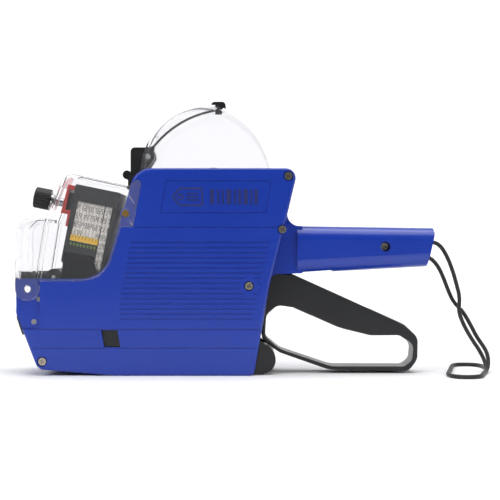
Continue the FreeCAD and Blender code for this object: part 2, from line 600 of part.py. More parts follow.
def print_head():
    """Frame, type bands, their wheels and core, faceplate strips and selector bush."""
    tall, depth = sizes.head_tall, sizes.head_depth
    outline = [(0, 0, 1.0), (depth, 0, 1.0), (depth - sizes.head_taper, tall, 2.0),
               (0.4, tall, 2.0)]
    block_all = slab("head_block", head_outline(outline), "places.arm_in")
    hollow = slab("head_hollow", head_outline([(1.6, 1.6), (24.6, 1.6), (24.2, 60), (1.6, 60)]),
                  "places.arm_in - sizes.head_wall")
    window = slab("head_window", head_outline([
        (3.0, 9.3), (24.2, 9.3), (23.6, 60), (19.4, 60), (19.4, 32.6), (3.0, 32.6)]), 30)
    shaft_down = sizes.shaft_down
    bush_hole = DOC.addObject("Part::Cylinder", "bush_hole")
    centre = head_point(-4, shaft_down)
    bush_hole.Placement = Placement(Vector(centre[0], 0, centre[1]),
                                    Rotation(Vector(0, 1, 0), 90 + sizes.head_lean))
    bind(bush_hole, Radius="sizes.shaft_round + 0.8", Height=45)
    node(cut("head_frame_cut", block_all, [hollow, window, bush_hole]), "print_head_frame")
    starts = [band_start(i) for i in range(int(sizes.band_count) + 2)]
    for i, start in enumerate(starts, start=1):
        node(band_loop("band_%d" % i, start), "type_band_%02d" % i)
    wheels = []
    for start in starts:
        wheel = DOC.addObject("Part::Cylinder", "band_wheel")
        x, z = head_point(start + 0.1, shaft_down)
        wheel.Placement = Placement(Vector(x, 0, z), Rotation(Vector(0, 1, 0),
                                                             90 + sizes.head_lean))
        bind(wheel, Radius="sizes.shaft_down - sizes.band_crown - sizes.band_thick - 0.1",
             Height="sizes.band_wide - 0.2")
        wheels.append(cut("band_wheel_bored", wheel, [bush_hole]))
    node(group("band_wheel_set", wheels), "selector_wheels")
    core_half = "places.arm_in - sizes.head_wall - 0.2 - sizes.band_thick - 0.15"
    core = slab("core_block", head_outline([(2.9, 21.5, 1), (24.0, 21.5, 1),
                                            (23.6, sizes.band_foot - sizes.band_thick - 0.1),
                                            (2.9, sizes.band_foot - sizes.band_thick - 0.1)]),
                core_half)

    def foot_edges(edge):
        centre = edge.BoundBox.Center
        low = head_point(13, sizes.band_foot - sizes.band_thick)[1]
        return edge.BoundBox.YLength < 0.01 and abs(centre.y) > 1 and abs(centre.z - low) < 1.5
    node(fillet("core_round", core, 2.8, foot_edges), "band_core")
    strip = [(3.0, 29.1), (19.2, 29.1), (19.2, 32.5), (3.0, 32.5)]
    node(plate("line_strip", head_outline(strip), "places.arm_in - sizes.head_wall + 0.2",
               "places.arm_in - 0.1"), "set_line_strip")
    # red selector bracket in front of the head, and the black collar that it holds
    arms = head_outline([(-5.2, 1.0), (-0.1, 1.0), (-0.1, 3.6), (-3.9, 3.6), (-3.9, 15.6),
                         (-0.6, 15.6), (-0.6, 25.2), (-2.1, 25.2), (-2.1, 18.2), (-6.3, 18.2)])
    bracket = slab("bracket_block", arms, "sizes.bracket_half")
    ring = "sizes.shaft_round + 1.6"
    collar_hole = DOC.addObject("Part::Cylinder", "collar_hole")
    cx, cz = head_point(-10, shaft_down)
    collar_hole.Placement = Placement(Vector(cx, 0, cz), Rotation(Vector(0, 1, 0),
                                                                 90 + sizes.head_lean))
    bind(collar_hole, Radius=ring, Height=12)
    waist = slab("bracket_waist", head_outline([(-3.8, 3.7), (0.4, 3.7), (0.4, 15.5),
                                                (-3.8, 15.5)]), "sizes.bracket_half + 1")
    node(cut("bracket_cut", bracket, [waist, collar_hole]), "selector_bracket")
    collar = DOC.addObject("Part::Cylinder", "collar_tube")
    tx, tz = head_point(-6.6, shaft_down)
    collar.Placement = Placement(Vector(tx, 0, tz), Rotation(Vector(0, 1, 0),
                                                            90 + sizes.head_lean))
    bind(collar, Radius=ring + " - sizes.running_gap", Height=6.55)
    flange = slab("collar_block", head_outline([(-3.8, 5.2, 0.6), (-0.05, 5.2), (-0.05, 15.5),
                                                (-3.8, 15.5, 0.6)]), 5.5)
    shaft_hole = DOC.addObject("Part::Cylinder", "shaft_hole")
    shaft_hole.Placement = collar_hole.Placement
    bind(shaft_hole, Radius="sizes.shaft_round + sizes.running_gap", Height=30)
    node(cut("collar_bored", fuse("collar_blank", [collar, flange]), [shaft_hole]),
         "selector_collar")


def selector():
    """Shaft that slides through the head, and the ribbed knob that turns on its end."""
    axis = Rotation(Vector(0, 1, 0), 90 + sizes.head_lean)
    x, z = head_point(-sizes.knob_reach + 3.0, sizes.shaft_down)
    shaft = DOC.addObject("Part::Cylinder", "shaft_bar")
    shaft.Placement = Placement(Vector(x, 0, z), axis)
    bind(shaft, Radius="sizes.shaft_round", Height=40)
    collar_x, collar_z = head_point(-sizes.knob_reach + sizes.knob_long + 0.4, sizes.shaft_down)
    stop = DOC.addObject("Part::Cylinder", "shaft_stop")
    stop.Placement = Placement(Vector(collar_x, 0, collar_z), axis)
    bind(stop, Radius="sizes.shaft_round + 1.4", Height=1.2)
    node(fuse("shaft_whole", [shaft, stop]), "selector_shaft")
    body = DOC.addObject("PartDesign::Body", "knob")
    drawing = body.newObject("Sketcher::SketchObject", "knob_profile")
    plane = [f for f in body.Origin.OriginFeatures if f.Role == "XZ_Plane"][0]
    drawing.AttachmentSupport, drawing.MapMode = [(plane, "")], "FlatFace"
    bore, rim, length = sizes.shaft_round + sizes.running_gap, sizes.knob_round, sizes.knob_long
    profile = [(0, 0), (rim, 0, 0.8), (rim, length, 0.5), (bore, length), (bore, 2.6), (0, 2.6)]
    drawing.addGeometry(rounded(profile))
    turned = body.newObject("PartDesign::Revolution", "knob_turned")
    turned.Profile, turned.ReferenceAxis, turned.Angle = drawing, (drawing, ["V_Axis"]), 360
    flutes = body.newObject("Sketcher::SketchObject", "knob_flutes")
    flat = [f for f in body.Origin.OriginFeatures if f.Role == "XY_Plane"][0]
    flutes.AttachmentSupport, flutes.MapMode = [(flat, "")], "FlatFace"
    flutes.addGeometry(Part.Circle(Vector(rim + 0.25, 0, 0), Vector(0, 0, 1), 0.65))
    pocket = body.newObject("PartDesign::Pocket", "knob_flute")
    pocket.Profile, pocket.Type, pocket.Midplane = flutes, "Length", True
    pocket.Length = 40.0
    DOC.recompute()
    pattern = body.newObject("PartDesign::PolarPattern", "knob_ribs")
    pattern.Originals, pattern.Axis = [pocket], (flutes, ["N_Axis"])
    pattern.Angle, pattern.Occurrences = 360.0, 24
    body.Tip = pattern
    kx, kz = head_point(-sizes.knob_reach, sizes.shaft_down)
    body.Placement = Placement(Vector(kx, 0, kz), axis)
    node(body, "selector_knob")


# ---------------------------------------------------------------- clear covers
def clear_covers():
    """Head cover and front door, both clear mouldings."""
    walls = slab("head_cover_block", HEAD_COVER, "sizes.case_half")
    inner = inset(HEAD_COVER, sizes.clear_wall)
    back, front_low, front_high, crown = -57.4, inner[9], inner[8], inner[7]
    slope = (inner[6][1] - crown[1]) / (inner[6][0] - crown[0])
    under_roof = crown[1] + (back - crown[0]) * slope
    cavity = slab("head_cover_cavity", [
        (back, 130), (back, under_roof), crown, front_high, front_low, (front_low[0], 40),
        (-40, 40), (-40, 130)], "places.skin_half")
    mouth = slab("head_cover_mouth", [(-125, 88), (-70, 88), (-84, 108.4), (-125, 108.4)], 14.0)
    wide_mouth = slab("head_cover_wide_mouth", wide([(-120, 45), (-75, 83)]),
                      "places.arm_out + 1")
    foot = plate("head_cover_foot", [(-112, 50), (-104, 50), (-104, 56.1), (-112, 56.1)],
                 "places.inner_half - sizes.part_gap", "places.skin_half")
    holes = [rod("tab_screw_hole", x, z, 1.3, 40) for x, z in HEAD_COVER_SCREWS]
    seats = [plate("tab_seat", [(x - 2.3, z - 2.3, 2.2), (x + 2.3, z - 2.3, 2.2),
                                (x + 2.3, z + 2.3, 2.2), (x - 2.3, z + 2.3, 2.2)],
                   "sizes.case_half - sizes.clear_wall + 0.55", "sizes.case_half + 1")
             for x, z in HEAD_COVER_SCREWS]
    node(fillet("head_cover_soft", cut("head_cover_cut", walls, [cavity, mouth, wide_mouth, foot]
                                       + holes + seats), 0.6, rims(sizes.case_half)),
         "head_cover")
    edge_low = (BOUNDARY_LOW[0] - sizes.part_gap, BOUNDARY_LOW[1])
    edge_high = (BOUNDARY_HIGH[0] - sizes.part_gap, BOUNDARY_HIGH[1])
    hinge_x, hinge_z, front = sizes.door_hinge_x, sizes.door_hinge_z, sizes.door_front
    pane = [(front, hinge_z), (edge_low[0] + 0.5, hinge_z), edge_low,
            edge_high, (front, sizes.door_top, 8.6)]
    ear = rod("door_ear", "sizes.door_hinge_x", "sizes.door_hinge_z", "sizes.door_ear",
              "sizes.case_half")
    blank = fuse("door_blank", [slab("door_pane", pane, "sizes.case_half"), ear])
    void = [(front + sizes.clear_wall, 30), (-95, 30), (-95, sizes.door_top - sizes.clear_wall),
            (front + sizes.clear_wall, sizes.door_top - sizes.clear_wall, 6.8)]
    slot = slab("door_slot", [(-130, 66, 0), (-95, 66, 0), (-95, 95), (-130, 95)],
                "sizes.door_slot")
    hem = hinge_z + 9.0
    lower = cut("door_lower", slab("door_hem", wide([(-126, hinge_z - 20), (-98, hem - 5)]),
                                   "places.door_half"),
                [slab("door_apron", [(front, hinge_z + 0.5), (front + sizes.clear_wall,
                                                              hinge_z + 0.5),
                                     (front + sizes.clear_wall, hem + 1), (front, hem + 1)],
                      "places.inner_half - sizes.part_gap")])
    pin_hole = rod("door_bore", "sizes.door_hinge_x", "sizes.door_hinge_z",
                   "sizes.door_pin + sizes.running_gap", 40)
    node(fillet("door_soft", cut("door_cut", blank, [slab("door_void", void, "places.door_half"),
                                                     slot, lower, pin_hole]), 0.6,
                rims(sizes.case_half)), "front_door")
    pins = cut("door_pin_pair", rod("door_pin_bar", "sizes.door_hinge_x", "sizes.door_hinge_z",
                                    "sizes.door_pin", "sizes.case_half - 0.1"),
               [block("door_pin_gap", -125, -100, "places.inner_half - 2.2", 40, 60)])
    node(pins, "door_hinge_pins")


def roll_cover():
    """The clear dome over the label roll, its black strap and knob, and the post it turns on."""
    def dome(wall):
        """The dome's outline, two arcs that meet under the knob, moved inwards by a wall."""
        front, rear = Vector(-10.9, 117.6, 0), Vector(-20.7, 110.7, 0)
        front_arc, rear_arc = 38.7 - wall, 47.6 - wall
        apart = front - rear
        share = (rear_arc ** 2 - front_arc ** 2 + apart.Length ** 2) / (2 * apart.Length)
        across = Vector(-apart.y, apart.x, 0).normalize()
        crest = (rear + apart * (share / apart.Length)
                 + across * math.sqrt(rear_arc ** 2 - share ** 2))
        foot = sizes.dome_foot - (1.0 if wall else 0.0)
        lean = math.radians(30)
        end = rear + Vector(rear_arc, 0, 0)
        middle = rear + Vector(math.cos(lean), math.sin(lean), 0) * rear_arc
        waist = front - Vector(front_arc, 0, 0)
        knee = front + Vector(-math.sin(lean), math.cos(lean), 0) * front_arc
        feet = [end, Vector(end.x, foot, 0), Vector(waist.x, foot, 0), waist]
        return ([Part.Arc(waist, knee, crest), Part.Arc(crest, middle, end)]
                + [Part.LineSegment(p, q) for p, q in zip(feet, feet[1:])])

    shell = slab("dome_block", dome(0.0), "places.dome_half")
    void = slab("dome_void", dome(sizes.dome_wall), "places.dome_half - sizes.dome_wall")
    notch = block("dome_notch", -70, -40.5, "sizes.post_half + 0.6", 100, 139.5)
    stem_hole = DOC.addObject("Part::Cylinder", "stem_hole")
    bind(stem_hole, Radius="sizes.stem_round + sizes.running_gap", Height=12,
         Placement__Base__x="sizes.stem_x", Placement__Base__z=148)
    node(cut("dome_cut", shell, [void, notch, stem_hole]), "roll_cover")
    hinge = (sizes.cover_hinge_x, sizes.cover_hinge_z)
    centre = Vector(sizes.strap_arc_x, sizes.strap_arc_z, 0)

    def strap_edges():
        outer, inner = sizes.strap_arc, sizes.strap_arc - sizes.strap_thick
        angles = [math.radians(a) for a in (143, 120, 97.5)]
        far = [centre + Vector(math.cos(a), math.sin(a), 0) * outer for a in angles]
        near = [centre + Vector(math.cos(a), math.sin(a), 0) * inner for a in angles]
        return [Part.Arc(*far), Part.LineSegment(far[2], near[2]),
                Part.Arc(near[2], near[1], near[0]), Part.LineSegment(near[0], far[0])]

    strap = slab("strap", strap_edges(), "sizes.strap_half")
    eye = rod("strap_eye", hinge[0], hinge[1], 4.0, "sizes.strap_half")
    link = slab("strap_link", [(hinge[0] - 1.5, hinge[1] + 2), (hinge[0] + 3, hinge[1]),
                               (-43.4, 134.6), (-45.4, 133.6)], "sizes.strap_half")
    eye_bore = rod("eye_bore", hinge[0], hinge[1], "sizes.cover_pin + sizes.running_gap", 20)
    under = slab("strap_ceiling", dome(sizes.dome_wall + 0.02), 20)
    above = cut("strap_over", block("strap_region", -41, 10, 10, 130, 170), [under])
    node(cut("strap_bored", fuse("strap_blank", [strap, eye, link]),
             [eye_bore, above, stem_hole]), "cover_strap")
    cap = slab("knob_cap", [(-9.6, 156.4), (-1.0, 155.2), (-1.0, 159.9, 2.2), (-9.6, 159.9, 2.2)],
               5.0)
    stem = DOC.addObject("Part::Cylinder", "knob_stem")
    bind(stem, Radius="sizes.stem_round", Height=5.0, Placement__Base__x="sizes.stem_x",
         Placement__Base__z=152.9)
    dome_top = slab("dome_top_tool", dome(-0.05), 30)
    node(fuse("cover_knob_blank", [cut("knob_cap_seated", cap, [dome_top]), stem]), "cover_knob")
    post = slab("post_block", [(-56.9, 107.5), (-56.9, 132.7, 2.5), (-43.6, 132.7, 4.0),
                               (-42.6, 126.5, 3.0), (-47.2, 119.5), (-51.9, 115.0),
                               (-51.9, 107.5)], "sizes.post_half")
    bridge = block("post_bridge", -56.9, -51.9, "places.inner_half", 107.5, 115.0)
    slot = slab("post_slot", [(-60, 117.6), (-54, 117.6), (-38, 118.0), (-38, 140), (-60, 140)],
                "sizes.strap_half + sizes.part_gap")
    pin_hole = rod("post_bore", hinge[0], hinge[1], "sizes.cover_pin + sizes.running_gap", 20)
    peg = rod("post_ball", -59.2, 116.7, 2.6, 6.0)
    node(fuse("post_whole", [cut("post_cut", fuse("post_blank", [post, bridge]),
                                 [slot, pin_hole]), peg]), "cover_post")
    node(rod("cover_pin_bar", hinge[0], hinge[1], "sizes.cover_pin", "sizes.post_half - 0.2"),
         "cover_hinge_pin")


# ---------------------------------------------------------------- roll, feed and base
def roll_hub():
    """Spool that carries the label roll, free to turn on its axle."""
    body = DOC.addObject("PartDesign::Body", "hub")
    drawing = body.newObject("Sketcher::SketchObject", "hub_profile")
    plane = [f for f in body.Origin.OriginFeatures if f.Role == "XY_Plane"][0]
    drawing.AttachmentSupport, drawing.MapMode = [(plane, "")], "FlatFace"
    half = sizes.case_half - sizes.case_wall - sizes.dome_inset - sizes.dome_wall - 0.6
    bore, core, flange = sizes.roll_axle + sizes.running_gap, sizes.roll_core, sizes.roll_flange
    drawing.addGeometry(rounded([
        (bore, -half), (flange, -half, 0.6), (flange, -half + 1.6, 0.4), (core, -half + 1.6),
        (core, half - 1.6), (flange, half - 1.6, 0.4), (flange, half, 0.6), (bore, half),
        (bore, half - 3), (core - 1.8, half - 3), (core - 1.8, -half + 3), (bore, -half + 3)]))
    turned = body.newObject("PartDesign::Revolution", "hub_turned")
    turned.Profile, turned.ReferenceAxis, turned.Angle = drawing, (drawing, ["V_Axis"]), 360
    body.Placement = Placement(Vector(sizes.roll_x, 0, sizes.roll_z), Rotation())
    node(body, "roll_hub")
    node(rod("roll_axle_bar", "sizes.roll_x", "sizes.roll_z", "sizes.roll_axle",
             "places.inner_half + 1.0"), "roll_axle")


def feed():
    """Feed wheel with its ratchet on a fixed axle, check pawl and label chute."""
    wheel = rod("feed_drum", "sizes.feed_x", "sizes.feed_z", "sizes.feed_round",
                "sizes.feed_half")
    grooves = []
    for i in range(16):
        angle = math.radians(22.5 * i)
        x = sizes.feed_x + sizes.feed_round * math.cos(angle)
        z = sizes.feed_z + sizes.feed_round * math.sin(angle)
        grooves.append(rod("feed_groove", x, z, 0.7, "sizes.feed_half + 1"))
    bore = rod("feed_bore", "sizes.feed_x", "sizes.feed_z", "sizes.feed_axle + sizes.running_gap",
               30)
    node(cut("feed_wheel_cut", wheel, grooves + [bore]), "feed_wheel")
    teeth, points = int(sizes.ratchet_teeth), []
    for i in range(teeth):
        for radius, shift in ((7.4, 0.0), (5.6, 0.12)):
            angle = 2 * math.pi * (i + shift) / teeth
            points.append((sizes.feed_x + radius * math.cos(angle),
                           sizes.feed_z + radius * math.sin(angle)))
    toothed = slab("ratchet_block", points, "sizes.feed_half + 2")
    side = block("ratchet_side", -60, -30, "sizes.feed_half", 10, 40)
    other = DOC.addObject("Part::Box", "ratchet_other")
    bind(other, Length=30, Width=30, Height=30, Placement__Base__x=-60, Placement__Base__y=-30,
         Placement__Base__z=10)
    node(cut("ratchet_cut", toothed, [side, other, bore]), "ratchet_wheel")
    node(rod("feed_axle_bar", "sizes.feed_x", "sizes.feed_z", "sizes.feed_axle",
             "places.inner_half + 1.0"), "feed_axle")
    leaf = slab("check_leaf", [(-60, 20.2), (-58.6, 20.2), (-58.6, 27.0), (-52.6, 28.2),
                               (-52.9, 29.4), (-60, 28.2)], 11.0)
    cheek = block("check_cheek", -62, -50, 9.4, 10, 40)
    far = DOC.addObject("Part::Box", "check_far")
    bind(far, Length=20, Width=30, Height=30, Placement__Base__x=-65, Placement__Base__y=-30,
         Placement__Base__z=10)
    node(cut("check_pawl_cut", leaf, [cheek, far]), "check_pawl")
    chute = slab("chute_strip", [(-31.0, 83.0, 1.0), (-36.0, 74.0, 30.0), (-66.0, 41.2, 4.0),
                                 (-66.0, 39.8, 0), (-34.4, 73.4, 30.0), (-29.4, 82.4, 0.4)],
                 "sizes.platen_half")
    bar = rod("chute_bar", -36.6, 76.5, 2.2, "places.inner_half")
    node(fuse("chute", [chute, bar]), "label_guide")


def base():
    """Platen with its cross beam, peel bar, nose, press roller, inker and door comb."""
    top, half = "sizes.platen_top", "sizes.platen_half"
    beam = block("beam", -98, -60.4, "places.inner_half", "sizes.beam_low", "sizes.beam_high")
    column = block("column", -97, -72, half, "sizes.beam_high - 1", top)
    back = slab("column_back", [(-73, 19), (-62.4, 19), (-62.4, 36), (-73, sizes.platen_top)],
                "sizes.platen_half")
    lug = block("catch_lug", -74, -59.6, "places.inner_half", 14.5, 28)
    lug_gap = block("catch_gap", -80, -50, "places.inner_half - 1.4", 20.1, 60)
    window = slab("column_window", [(-93, 21.5, 2), (-76, 21.5, 2), (-76, 35, 2), (-93, 35, 2)],
                  "sizes.platen_half + 1")
    frame = fuse("platen_blank", [cut("column_cut", fuse("column_all", [column, back]), [window]),
                                  beam, cut("lug_pair", lug, [lug_gap])])
    node(frame, "platen_frame")
    node(slab("peel_blade", [(-104.2, 37.6), (-103.4, 38.9), (-97.1, 39.1), (-97.1, 36.0),
                             (-98.6, 36.0)], half), "peel_bar")
    nose = [(-120.9, 36.0, 1.0), (-118.8, 36.0), (-118.0, 30.0), (-115.6, 23.6), (-117.8, 23.6),
            (-120.9, 33.0, 2)]
    node(slab("nose_bar", nose, "places.inner_half"), "applicator_nose")
    roller = cut("press_drum", rod("press_tube", "sizes.press_x", "sizes.press_z",
                                   "sizes.press_round", half),
                 [rod("press_bore", "sizes.press_x", "sizes.press_z",
                      "sizes.ink_pin + sizes.running_gap", 30)])
    node(roller, "applicator_roller")
    node(rod("press_axle", "sizes.press_x", "sizes.press_z", "sizes.ink_pin",
             "places.inner_half + 0.4"), "applicator_axle")
    node(rod("ink_hinge_bar", "sizes.ink_hinge_x", "sizes.ink_hinge_z", "sizes.ink_pin",
             "places.inner_half + 0.4"), "inker_hinge_pin")
    hinge = (sizes.ink_hinge_x, sizes.ink_hinge_z)
    ink = (sizes.ink_x, sizes.ink_z)
    lean = Vector(ink[0] - hinge[0], ink[1] - hinge[1], 0).normalize()
    across = Vector(-lean.y, lean.x, 0)
    corners = [Vector(*hinge, 0) - across * 2.4, Vector(*ink, 0) - across * 2.0,
               Vector(*ink, 0) + across * 2.0, Vector(*hinge, 0) + across * 2.4]
    cheek = plate("ink_cheeks", [(c.x, c.y) for c in corners], "sizes.ink_half + 0.4",
                  "sizes.ink_half + 1.9")
    ends = [cut("ink_eye_%d" % i, rod("ink_disc_%d" % i, x, z, r, "sizes.ink_half + 1.9"),
                [block("ink_eye_gap_%d" % i, -130, -80, "sizes.ink_half + 0.4", 20, 80)])
            for i, (x, z, r) in enumerate(((hinge[0], hinge[1], 3.4), (ink[0], ink[1], 2.6)))]
    bar = rod("ink_sleeve", hinge[0], hinge[1], 2.8, "sizes.ink_half + 1")
    holder = fuse("ink_holder_blank", [cheek, bar] + ends)
    bores = [rod("ink_hinge_bore", hinge[0], hinge[1], "sizes.ink_pin + sizes.running_gap", 30),
             rod("ink_pin_bore", ink[0], ink[1], 1.25, 30)]
    node(cut("ink_holder_cut", holder, bores), "ink_holder")
    node(rod("ink_pin_bar", ink[0], ink[1], 1.2, "sizes.ink_half + 1.9"), "ink_roller_pin")
    node(cut("ink_drum", rod("ink_tube", ink[0], ink[1], "sizes.ink_round", "sizes.ink_half"),
             [rod("ink_bore", ink[0], ink[1], 1.25, 30)]), "ink_roller")
    comb = plate("comb_rail", [(-118.9, 55.6), (-109.4, 55.6), (-109.4, 58.0), (-118.9, 58.0)],
                 "sizes.ink_half + 2.9", "places.inner_half - 1.4")
    teeth = [plate("comb_tooth_%d" % i, [(x, 57.9), (x + 0.8, 57.9), (x + 0.8, 59.6), (x, 59.6)],
                   "sizes.ink_half + 2.9", "places.inner_half - 1.4")
             for i, x in enumerate([-118.7 + 1.55 * k for k in range(6)])]
    foot = plate("comb_foot", [(-112.4, 50.0), (-109.4, 50.0), (-109.4, 55.7), (-112.4, 55.7)],
                 "places.inner_half - 3.0", "places.inner_half")
    node(fuse("comb", [comb, foot] + teeth), "door_comb")


def bottom_cover():
    """Hinged floor plate, its pin, and the black latch that slides in its rear end."""
    hinge = (sizes.floor_hinge_x, sizes.floor_hinge_z)
    low, thick = sizes.case_base + 0.5, sizes.floor_thick
    back = sizes.floor_back
    line = [(-94.0, 3.1), (-64.1, low), (back, low), (back, low + thick), (-63.9, low + thick),
            (-93.8, 3.1 + thick)]
    sheet_half = "sizes.floor_half"
    barrel = rod("floor_barrel", hinge[0], hinge[1], 2.9, sheet_half)
    web = slab("floor_web", [(hinge[0], hinge[1] - 2.6), (-93.0, 3.05), (-92.8, 5.0),
                             (hinge[0] + 1, hinge[1] + 1)], sheet_half)
    bore = rod("floor_bore", hinge[0], hinge[1], "sizes.floor_pin + sizes.running_gap", 40)
    ribs = [slab("floor_rib_%d" % i, [(x, low + thick - 0.1), (x + 1.2, low + thick - 0.1),
                                      (x + 1.2, low + thick + 1.6), (x, low + thick + 1.6)],
                 "sizes.floor_half - 3") for i, x in enumerate((-52.0, -32.0, -12.0))]
    node(cut("floor_bored", fuse("floor_blank", [slab("floor_plate", line, sheet_half), barrel,
                                                 web] + ribs), [bore]), "bottom_cover")
    node(rod("floor_pin_bar", hinge[0], hinge[1], "sizes.floor_pin", "places.inner_half + 1.0"),
         "bottom_hinge_pin")
    x, z, r = sizes.latch_x, sizes.latch_z, sizes.latch_round
    lobe = rod("latch_lobe", "sizes.latch_x", "sizes.latch_z", "sizes.latch_round",
               "sizes.latch_half")
    heel = slab("latch_heel", [(x - 7.6, 0.35, 1.0), (x + 1, 0.35), (x + 1, z + 3),
                               (x - 7.6, 14.0, 2)], "sizes.latch_half")
    tail = slab("latch_tail", [(-2.0, 2.9), (x, 2.9), (x, 8.0), (-2.0, 8.0, 1.5)],
                "sizes.floor_half - 1.0")
    wedge = plate("latch_wedge", [(x - 2.0, z + 6.0), (x - 1.1, 19.7, 0.8), (x + 5.9, 14.4, 1.0),
                                  (x + 4.0, z)], "sizes.trigger_half + 1.5", "sizes.latch_half")
    floor_cut = block("latch_floor", -10, 60, 40, -10, "sizes.case_base + 0.35")
    node(cut("latch_cut", fuse("latch_blank", [lobe, heel, tail, wedge]), [floor_cut]),
         "cover_latch")


# ---------------------------------------------------------------- wrist cord
CORD = [
    (112.6, -1.6, 77.4), (121.6, -1.6, 77.4), (126.2, -1.8, 75.2), (129.8, -2.0, 69.6),
    (133.0, -2.2, 62.0), (135.6, -2.4, 53.0), (137.9, -2.4, 44.0), (137.0, -2.2, 36.0),
    (140.4, -1.6, 27.4), (145.4, -0.6, 19.0), (150.4, 1.4, 12.2), (154.0, 4.2, 5.6),
    (155.6, 9.8, 1.4), (156.0, 18.2, 1.25), (154.8, 26.6, 1.25), (150.0, 31.2, 1.25),
    (143.4, 31.2, 1.25), (138.6, 26.8, 1.25), (135.8, 16.0, 1.25), (132.6, 0.0, 1.25),
    (128.8, -16.0, 1.25), (126.4, -28.6, 1.25), (127.8, -37.6, 1.25), (132.6, -42.0, 1.25),
    (139.2, -41.8, 1.25), (143.8, -37.4, 1.25), (146.0, -29.0, 1.25), (149.4, -17.4, 1.25),
    (152.6, -8.4, 1.4), (154.8, -3.2, 5.0), (154.4, -0.4, 12.0), (148.6, 1.6, 20.4),
    (144.6, 2.4, 28.6), (140.2, 2.6, 36.0), (134.8, 2.4, 41.2), (131.4, 2.2, 48.8),
    (128.6, 2.0, 56.4), (125.6, 1.8, 62.6), (121.8, 1.6, 67.0), (117.8, 1.6, 68.7),
    (112.6, 1.6, 68.7),
]


def cord_path(points):
    """Straight runs joined by tangent arcs, each as large as its two runs allow."""
    corners = [Vector(*p) for p in points]
    edges, at, smallest = [], corners[0], 1e9
    for i in range(1, len(corners) - 1):
        before, after = corners[i - 1] - corners[i], corners[i + 1] - corners[i]
        turn = math.pi - before.getAngle(after)
        reach = 0.45 * min(before.Length, after.Length)
        radius = reach / math.tan(turn / 2)
        before.normalize()
        after.normalize()
        first, last = corners[i] + before * reach, corners[i] + after * reach
        bisector = (before + after).normalize()
        middle = corners[i] + bisector * (radius / math.cos(turn / 2) - radius)
        edges.append(Part.LineSegment(at, first).toShape())
        edges.append(Part.Arc(first, middle, last).toShape())
        at = last
        smallest = min(smallest, radius)
        print("cord bend %2d: radius %6.1f turn %5.1f" % (i, radius, math.degrees(turn)))
    edges.append(Part.LineSegment(at, corners[-1]).toShape())
    return Part.Wire(edges), smallest


def cord():
    """The wrist cord's tube and the anchor bar inside the handle's end."""
    path, smallest = cord_path(CORD)
    start, ahead = Vector(*CORD[0]), (Vector(*CORD[1]) - Vector(*CORD[0])).normalize()
    ring = Part.Wire(Part.makeCircle(sizes.cord_round, start, ahead))
    tube = path.makePipeShell([ring], True, False)
    expected = math.pi * sizes.cord_round ** 2 * path.Length
    print("cord length %.1f, volume %.1f of %.1f, tightest radius %.1f"
          % (path.Length, tube.Volume, expected, smallest))
    thing = DOC.addObject("Part::Feature", "cord_tube")
    thing.Shape = tube
    node(thing, "wrist_cord")
    bar = block("anchor_bar", 108.0, CORD[0][0], 6.0, 65.6, 80.4)
    node(bar, "cord_anchor")


side_covers()
fasteners()
lever()
print_head()
selector()
clear_covers()
roll_cover()
roll_hub()
feed()
base()
bottom_cover()
cord()
DOC.recompute()

problems = []
for thing in DOC.Objects:
    if "Invalid" in thing.State or "Error" in thing.State:
        problems.append("%s is in state %s" % (thing.Label, thing.State))
for thing in NODES:
    if thing.Shape.isNull() or not thing.Shape.isValid() or not thing.Shape.Solids:
        problems.append("%s has no valid solid" % thing.Label)
if problems:
    raise SystemExit("\n".join(problems))

os.makedirs("parts", exist_ok=True)
for thing in NODES:
    thing.Shape.exportStep("parts/%s.step" % thing.Label)
print("%d nodes written" % len(NODES))
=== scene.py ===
"""Looks of a price labelling gun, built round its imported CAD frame.

The frame brings the rigid parts. This script dresses each of them in its own
finish and adds what is too fine for the frame: the raised characters on the
type bands, the marks on the head, the relief on the case, the ribs on the
clear mouldings and the braided wrist cord. Lengths named _mm are millimetres,
and every other length is in metres.
"""

import logging
import math
from dataclasses import dataclass, field
from enum import Enum
from typing import Any, ClassVar

import bpy
import numpy as np
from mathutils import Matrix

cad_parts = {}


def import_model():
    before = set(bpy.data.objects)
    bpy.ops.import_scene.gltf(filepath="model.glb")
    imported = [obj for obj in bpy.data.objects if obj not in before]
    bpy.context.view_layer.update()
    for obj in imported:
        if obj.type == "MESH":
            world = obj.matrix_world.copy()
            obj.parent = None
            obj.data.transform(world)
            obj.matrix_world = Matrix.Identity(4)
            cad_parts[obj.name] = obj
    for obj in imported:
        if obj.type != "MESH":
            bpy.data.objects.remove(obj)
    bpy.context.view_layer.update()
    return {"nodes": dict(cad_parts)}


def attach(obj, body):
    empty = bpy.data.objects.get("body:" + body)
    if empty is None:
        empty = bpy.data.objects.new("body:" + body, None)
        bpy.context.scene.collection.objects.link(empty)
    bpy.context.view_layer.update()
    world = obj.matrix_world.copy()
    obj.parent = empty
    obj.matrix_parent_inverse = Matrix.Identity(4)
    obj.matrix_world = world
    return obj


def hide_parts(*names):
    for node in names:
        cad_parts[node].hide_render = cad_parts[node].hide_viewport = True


LOG = logging.getLogger("labelling_gun")
MM = 0.001
Array = np.ndarray


# ------------------------------------------------------------------ named options
class Side(Enum):
    """A side of the gun, by the sign of its Y."""

    LEFT = -1
    RIGHT = 1


class Stroke(Enum):
    """The seven bars of a plain figure and the point below it: centre and size.

    Each value is (centre across, centre up, width, height) as a share of the
    figure's own width and height.
    """

    TOP = (0.0, 0.45, 0.80, 0.10)
    MIDDLE = (0.0, 0.0, 0.80, 0.10)
    BOTTOM = (0.0, -0.45, 0.80, 0.10)
    HIGH_LEFT = (-0.38, 0.24, 0.24, 0.40)
    HIGH_RIGHT = (0.38, 0.24, 0.24, 0.40)
    LOW_LEFT = (-0.38, -0.24, 0.24, 0.40)
    LOW_RIGHT = (0.38, -0.24, 0.24, 0.40)
    POINT = (0.0, -0.40, 0.34, 0.14)


